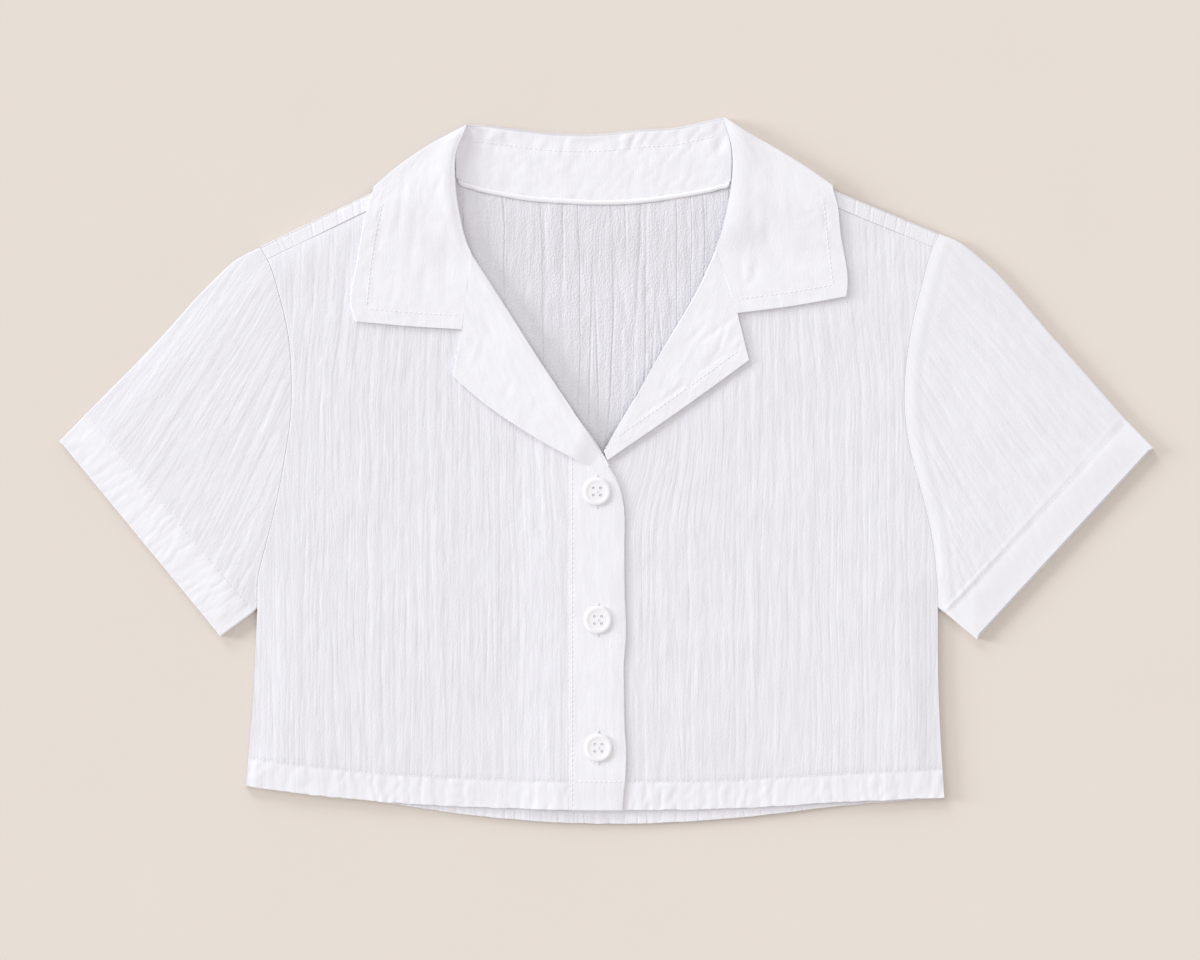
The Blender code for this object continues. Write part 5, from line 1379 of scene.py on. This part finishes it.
def make_buttonhole(button, surface, material):
    """A vertical buttonhole: close stitches across the two lips of a slit, and a bar at each end."""
    threads = Threads()
    half = BUTTONHOLE_LENGTH / 2

    def stitch(start_x, end_x, y, rise, at_x, slant=0.0, radius=0.2):
        z = (surface(at_x, y) or PLACKET_TOP) + rise
        threads.add((start_x, y, z), (end_x, y + slant, z), radius=radius, arch=0.12, sides=5, rings=4)

    for side in (-1, 1):
        outer_x = button.x + side * (BUTTONHOLE_HALF_WIDTH + 0.6)
        for k in range(int(BUTTONHOLE_LENGTH / BUTTONHOLE_PITCH)):
            y = button.y - half + BUTTONHOLE_PITCH / 2 + BUTTONHOLE_PITCH * k
            stitch(button.x + side * 0.18, outer_x, y, 0.12, outer_x, slant=0.1, radius=0.22)
    for end in (-1, 1):
        for k in range(3):
            stitch(button.x - 0.9, button.x + 0.9, button.y + end * (half + 0.1 + 0.32 * k), 0.14, button.x)
    return threads.finish("buttonhole_" + button.node[len("button_"):], material)


# Buttons

BUTTON_HOLE_RADIUS = 0.85
BUTTON_HOLE_OFFSET = 3.25  # from the middle
BUTTON_SEGMENTS = 64
# radius, height of the turned profile, from the dished middle over the rim to the flat base
BUTTON_PROFILE = ((3.0, 1.46), (5.3, 1.46), (5.8, 1.5), (6.3, 1.6), (6.8, 1.68), (7.3, 1.71), (7.9, 1.69),
                  (8.35, 1.6), (8.7, 1.42), (8.92, 1.15), (9.0, 0.8), (8.95, 0.4), (8.7, 0.12), (8.3, 0.0))
BUTTON_DIMPLE = 0.4       # how deep a button lies in the cloth


def button_base(button):
    return PLACKET_TOP - BUTTON_DIMPLE + 0.05 + float(loft(button.x, button.y))


def button_holes(button):
    """x, y of the middle of each of a button's holes."""
    angles = [math.pi / 4 + k * math.pi / 2 for k in range(4)]
    return [(button.x + BUTTON_HOLE_OFFSET * math.cos(angle), button.y + BUTTON_HOLE_OFFSET * math.sin(angle))
            for angle in angles]


def make_button(button, material):
    """A four-hole button, turned finely, with its holes cut through."""
    base = button_base(button)
    bm = bmesh.new()
    turns = [2 * math.pi * k / BUTTON_SEGMENTS for k in range(BUTTON_SEGMENTS)]
    rings = []
    for radius, height in BUTTON_PROFILE:
        ring = [(button.x + radius * math.cos(turn), button.y + radius * math.sin(turn), base + height)
                for turn in turns]
        rings.append([bm.verts.new([value * MM for value in point]) for point in ring])
    for one, two in zip(rings, rings[1:]):
        for k in range(BUTTON_SEGMENTS):
            after = (k + 1) % BUTTON_SEGMENTS
            bm.faces.new((one[k], one[after], two[after], two[k]))
    bm.faces.new(rings[0])
    bm.faces.new(rings[-1])
    bmesh.ops.recalc_face_normals(bm, faces=bm.faces)
    mesh = bpy.data.meshes.new(button.node + "_turned")
    bm.to_mesh(mesh)
    bm.free()
    mesh.materials.append(material)
    obj = add_object(mesh.name, mesh)
    cutters = []
    for x, y in button_holes(button):
        cutter_mesh = bpy.data.meshes.new("hole")
        bm = bmesh.new()
        bmesh.ops.create_cone(bm, cap_ends=True, segments=24, radius1=BUTTON_HOLE_RADIUS * MM,
                              radius2=BUTTON_HOLE_RADIUS * MM, depth=10 * MM)
        bmesh.ops.translate(bm, verts=bm.verts, vec=(x * MM, y * MM, base * MM))
        bm.to_mesh(cutter_mesh)
        bm.free()
        cutter = add_object("hole", cutter_mesh)
        cut = obj.modifiers.new("hole", "BOOLEAN")
        cut.operation = "DIFFERENCE"
        cut.object = cutter
        cutters.append(cutter)
    apply_modifiers(obj)
    for cutter in cutters:
        bpy.data.objects.remove(cutter)
    obj.data.shade_smooth()
    obj.data.set_sharp_from_angle(angle=math.radians(50))
    return obj


def apply_modifiers(obj):
    """Replaces an object's mesh with the mesh that its modifiers make."""
    depsgraph = bpy.context.evaluated_depsgraph_get()
    mesh = bpy.data.meshes.new_from_object(obj.evaluated_get(depsgraph))
    obj.modifiers.clear()
    obj.data = mesh


def make_button_thread(button, material):
    """The thread that holds a button: a cross over its four holes."""
    threads = Threads()
    z = button_base(button) + 1.52
    for x, y in button_holes(button):
        for shift in (-0.38, 0.0, 0.38):
            threads.add((x + shift, y - 0.8, z - 0.75), (x + shift, y + 0.8, z - 0.75), radius=0.3, arch=0.1)
    for angle, arch in ((math.pi / 4, 0.95), (3 * math.pi / 4, 1.25)):
        step = np.array((math.cos(angle), math.sin(angle)))
        beside = np.array((-step[1], step[0])) * 0.22
        for shift in (-1, 1):
            start = (button.x, button.y) - BUTTON_HOLE_OFFSET * step + shift * beside
            end = (button.x, button.y) + BUTTON_HOLE_OFFSET * step + shift * beside
            threads.add((*start, z - 0.5), (*end, z - 0.5), radius=0.25, arch=arch, rings=9)
    return threads.finish("thread_" + button.node, material)


# Materials

def new_material(name, settings):
    """A material, its node tree and its shader, with settings on the shader's own sockets."""
    material = bpy.data.materials.new(name)
    material.use_nodes = True
    tree = material.node_tree
    shader = tree.nodes["Principled BSDF"]
    for socket, value in settings.items():
        shader.inputs[socket].default_value = value
    return material, tree, shader


def add_node(tree, kind, **values):
    node = tree.nodes.new(kind)
    for key, value in values.items():
        if key in node.inputs:
            node.inputs[key].default_value = value
        else:
            setattr(node, key.lower(), value)
    return node


# Linear colours of one layer of cloth, of doubled cloth and of the back's inside
SINGLE = (0.83, 0.813, 0.857)
DOUBLED = (0.90, 0.883, 0.927)
INSIDE = (0.79, 0.772, 0.818)
PAINTED_EDGE_SHADE = (0.5, 0.485, 0.51)       # painted shade on folded edges and rolls that face the lamps
WEAVE_PITCH = 0.55
SQUIGGLE_PITCH = 2.5


def gauze(name, colour, creases=0.06, crepe=0.04, squiggle=0.028, crease=(5.2, 0.17), mottle=0.02):
    """Crinkled cotton gauze. Creases, crepe and squiggle are heights in mm of its long narrow creases, the
    finer ones between them and its twisted threads. Crease is the distance in mm between the long ones and
    their width in shares of the noise, and mottle is how far the colour varies. Doubled cloth is whiter and
    smoother, and edges that face the lamps get a painted shade."""
    material, tree, shader = new_material(
        name, {"Roughness": 0.92, "Sheen Weight": 0.1, "Sheen Roughness": 0.6, "Specular IOR Level": 0.25})
    link = tree.links.new
    grain = add_node(tree, "ShaderNodeAttribute", attribute_name="grain")

    def maths(operation, *values, clamp=False):
        node = add_node(tree, "ShaderNodeMath", operation=operation, use_clamp=clamp)
        for socket, value in zip(node.inputs, values):
            if isinstance(value, (int, float)):
                socket.default_value = value
            else:
                link(value, socket)
        return node.outputs["Value"]

    def scaled(vector, across, along_):
        """A vector in mm, divided by a length across and one along the crinkles."""
        node = add_node(tree, "ShaderNodeMapping", Scale=(1 / across, 1 / along_, 1.0))
        link(vector, node.inputs["Vector"])
        return node.outputs["Vector"]

    def noise_at(vector, detail, output="Fac"):
        node = add_node(tree, "ShaderNodeTexNoise", Scale=1.0, Detail=detail)
        node.noise_dimensions = "2D"
        link(vector, node.inputs["Vector"])
        return node.outputs[output]

    def moved(vector, by, amount):
        """A vector moved about by a coloured noise, up to half an amount in mm each way."""
        centred = add_node(tree, "ShaderNodeVectorMath", operation="SUBTRACT")
        centred.inputs[1].default_value = (0.5, 0.5, 0.5)
        link(by, centred.inputs[0])
        node = add_node(tree, "ShaderNodeVectorMath", operation="MULTIPLY_ADD")
        link(centred.outputs[0], node.inputs[0])
        node.inputs[1].default_value = (amount, amount, 0.0)
        link(vector, node.inputs[2])
        return node.outputs[0]

    def creased(vector, across, along_, width):
        """Plump long ridges with narrow creases between them, of a width in shares of the noise."""
        away = maths("ABSOLUTE", maths("SUBTRACT", noise_at(scaled(vector, across, along_), 0.0), 0.5), 0.0)
        smooth = add_node(tree, "ShaderNodeMapRange")
        smooth.interpolation_type = "SMOOTHSTEP"
        smooth.inputs["From Max"].default_value = width
        link(away, smooth.inputs["Value"])
        return smooth.outputs["Result"]

    place = scaled(grain.outputs["Vector"], MM, MM)
    wavy = moved(place, noise_at(scaled(place, 45.0, 60.0), 1.0, "Color"), 3.0)
    wavy = moved(wavy, noise_at(scaled(place, 1.5, 2.0), 1.0, "Color"), 0.6)
    height = maths("MULTIPLY", creased(wavy, crease[0], 25.0 * crease[0], crease[1]), creases)
    height = maths("ADD", height, maths("MULTIPLY", creased(wavy, 3.1, 40.0, 0.2), crepe))
    threads = maths("MULTIPLY", wave(tree, scaled(wavy, 1.0, 1.4), "X", SQUIGGLE_PITCH, 12.0, 2.0), 0.9)
    threads = maths("ADD", threads, maths("MULTIPLY", noise_at(scaled(wavy, 1.2, 1.4), 2.0), 2.8))
    height = maths("ADD", height, maths("MULTIPLY", threads, squiggle))
    weave = maths("ADD", *(wave(tree, place, direction, WEAVE_PITCH, 0.8, 1.0) for direction in "XY"))
    height = maths("ADD", height, maths("MULTIPLY", weave, 0.012))
    parts = add_node(tree, "ShaderNodeSeparateXYZ")
    link(grain.outputs["Vector"], parts.inputs[0])
    single = maths("MULTIPLY_ADD", parts.outputs["Z"], -0.75, 1.0, clamp=True)
    height = maths("MULTIPLY", height, single)
    relief = add_node(tree, "ShaderNodeBump", Strength=1.0, Distance=MM)
    link(height, relief.inputs["Height"])
    link(relief.outputs["Normal"], shader.inputs["Normal"])

    cloud = noise_at(scaled(place, 8.0, 22.0), 3.0)
    mix = add_node(tree, "ShaderNodeMix", data_type="RGBA")
    mix.inputs[6].default_value = (*(value * (1 - mottle) for value in colour), 1.0)
    mix.inputs[7].default_value = (*(value * (1 + mottle) for value in colour), 1.0)
    link(maths("MULTIPLY_ADD", cloud, 2.4, -0.7), mix.inputs[0])
    # painted shade: where the grain's third value is below 0, the colour goes towards a dark tint
    painted_shade_share = maths("MULTIPLY", parts.outputs["Z"], -1.0, clamp=True)
    for share, tint in ((parts.outputs["Z"], DOUBLED), (painted_shade_share, PAINTED_EDGE_SHADE)):
        tinted = add_node(tree, "ShaderNodeMix", data_type="RGBA", clamp_factor=True)
        tinted.inputs[7].default_value = (*tint, 1.0)
        link(share, tinted.inputs[0])
        link(mix.outputs[2], tinted.inputs[6])
        mix = tinted
    link(mix.outputs[2], shader.inputs["Base Color"])
    return material


def wave(tree, vector, direction, pitch, distortion, detail_scale):
    """Threads side by side at a pitch in mm, in one direction of the weave, bent by a distortion."""
    node = add_node(tree, "ShaderNodeTexWave", Scale=math.pi / (10.0 * pitch), Distortion=distortion)
    node.inputs["Detail Scale"].default_value = detail_scale
    node.bands_direction = direction
    tree.links.new(vector, node.inputs["Vector"])
    return node.outputs["Fac"]


def clouded(name, scale, detail, dark, light, settings):
    """A material whose colour drifts between two, by a noise over the object."""
    material, tree, shader = new_material(name, settings)
    place = add_node(tree, "ShaderNodeTexCoord")
    cloud = add_node(tree, "ShaderNodeTexNoise", Scale=scale, Detail=detail)
    mix = add_node(tree, "ShaderNodeMix", data_type="RGBA")
    mix.inputs[6].default_value = (*dark, 1.0)
    mix.inputs[7].default_value = (*light, 1.0)
    tree.links.new(place.outputs["Object"], cloud.inputs["Vector"])
    tree.links.new(cloud.outputs["Fac"], mix.inputs[0])
    tree.links.new(mix.outputs[2], shader.inputs["Base Color"])
    return material


# Stage

def add_floor():
    bpy.ops.mesh.primitive_plane_add(size=12.0, location=(0.0, 0.0, -0.0002))
    floor = bpy.context.object
    floor.name = "floor"
    floor.data.materials.append(clouded("floor_paper", 9.0, 4.0, (0.795, 0.718, 0.655), (0.813, 0.736, 0.673),
                                        {"Roughness": 0.95, "Specular IOR Level": 0.1}))


Key = namedtuple("Key", "azimuth elevation spread strength")
KEYS = (                 # degrees: two broad lights, from the left of the view and from above it
    Key(170.0, 15.0, 18.0, 1.9),
    Key(118.0, 20.0, 22.0, 1.1),
)
KEY_COLOUR = (0.94, 1.0, 1.045)
SKY_STRENGTH = 0.725
SKY_COLOUR = (1.018, 1.0, 0.985, 1.0)


def add_lights():
    world = bpy.data.worlds.new("studio")
    world.use_nodes = True
    background = world.node_tree.nodes["Background"]
    background.inputs["Color"].default_value = SKY_COLOUR
    background.inputs["Strength"].default_value = SKY_STRENGTH
    bpy.context.scene.world = world
    for number, light in enumerate(KEYS):
        data = bpy.data.lights.new("key_%d" % number, "SUN")
        data.angle = math.radians(light.spread)
        data.energy = light.strength
        data.color = KEY_COLOUR
        key = add_object(data.name, data)
        key.rotation_euler = (math.radians(90 - light.elevation), 0.0, math.radians(light.azimuth + 90))


PIXEL = 0.65             # mm of the garment to one pixel of the view
VIEW_PIXELS = 1200       # across the view
VIEW_CENTRE = (-4.2, -6.0)
CAMERA_DISTANCE = 2.6    # in metres


def add_camera():
    data = bpy.data.cameras.new("camera")
    data.lens = data.sensor_width * CAMERA_DISTANCE / (VIEW_PIXELS * PIXEL * MM)
    camera = add_object("camera", data)
    camera.location = (VIEW_CENTRE[0] * MM, VIEW_CENTRE[1] * MM, CAMERA_DISTANCE)
    bpy.context.scene.camera = camera
    bpy.context.scene.view_settings.view_transform = "Standard"


# Cut sizes of the cloth: node, width and length in mm, area in square mm
Cut = namedtuple("Cut", "node width length area")
CUTS = (
    Cut("back", 452.0, 446.0, 174000.0),
    Cut("front_right", 213.0, 413.0, 69600.0),
    Cut("front_left", 246.0, 415.0, 79600.0),
    Cut("sleeve_right", 330.0, 160.0, 43000.0),
    Cut("sleeve_left", 330.0, 170.0, 47700.0),
    Cut("lapel_right", 70.0, 165.0, 5900.0),
    Cut("lapel_left", 60.0, 165.0, 5200.0),
    Cut("collar_leaf_right", 90.0, 150.0, 10500.0),
    Cut("collar_leaf_left", 90.0, 150.0, 10500.0),
    Cut("collar_back", 182.0, 100.0, 17000.0),
    Cut("placket", 37.0, 256.0, 8800.0),
    Cut("neck_tape", 180.0, 10.0, 650.0),
)


def main():
    body = gauze("gauze", SINGLE)
    inside = gauze("gauze_inside", INSIDE, creases=0.27, crepe=0.05, squiggle=0.085, crease=(10.0, 0.07))
    smooth = gauze("gauze_doubled", DOUBLED, creases=0.0, crepe=0.014, squiggle=0.02)
    thread = clouded("sewing_thread", 900.0, 2.0, (0.87, 0.855, 0.895), (0.93, 0.915, 0.955),
                     {"Roughness": 0.6, "Sheen Weight": 0.2})
    plastic = clouded("button_plastic", 140.0, 3.0, (0.9, 0.88, 0.907), (0.94, 0.92, 0.948),
                      {"Roughness": 0.32})
    pieces = {"back": make_back(inside)}
    for side in (RIGHT, LEFT):
        pieces["front_" + side.name] = make_front(side, body)
        pieces["sleeve_" + side.name] = make_sleeve(side, body)
        pieces["lapel_" + side.name] = make_lapel(side, smooth)
        pieces["collar_leaf_" + side.name] = make_leaf(side, smooth)
    pieces["collar_back"] = make_collar_back(smooth)
    pieces["neck_tape"] = make_neck_tape(smooth)
    pieces["placket"] = make_placket(smooth)
    for cut in CUTS:
        piece = pieces[cut.node]
        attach(piece, "root")
        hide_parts(cut.node)
    sewing = sew(pieces, thread)
    band = surface_of(pieces["placket"])
    for button in BUTTONS:
        turned = make_button(button, plastic)
        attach(turned, "root")
        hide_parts(button.node)
        sewing.append(make_buttonhole(button, band, thread))
        sewing.append(make_button_thread(button, thread))
    for piece in sewing:
        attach(piece, "root")
    add_floor()
    add_lights()
    add_camera()


main()
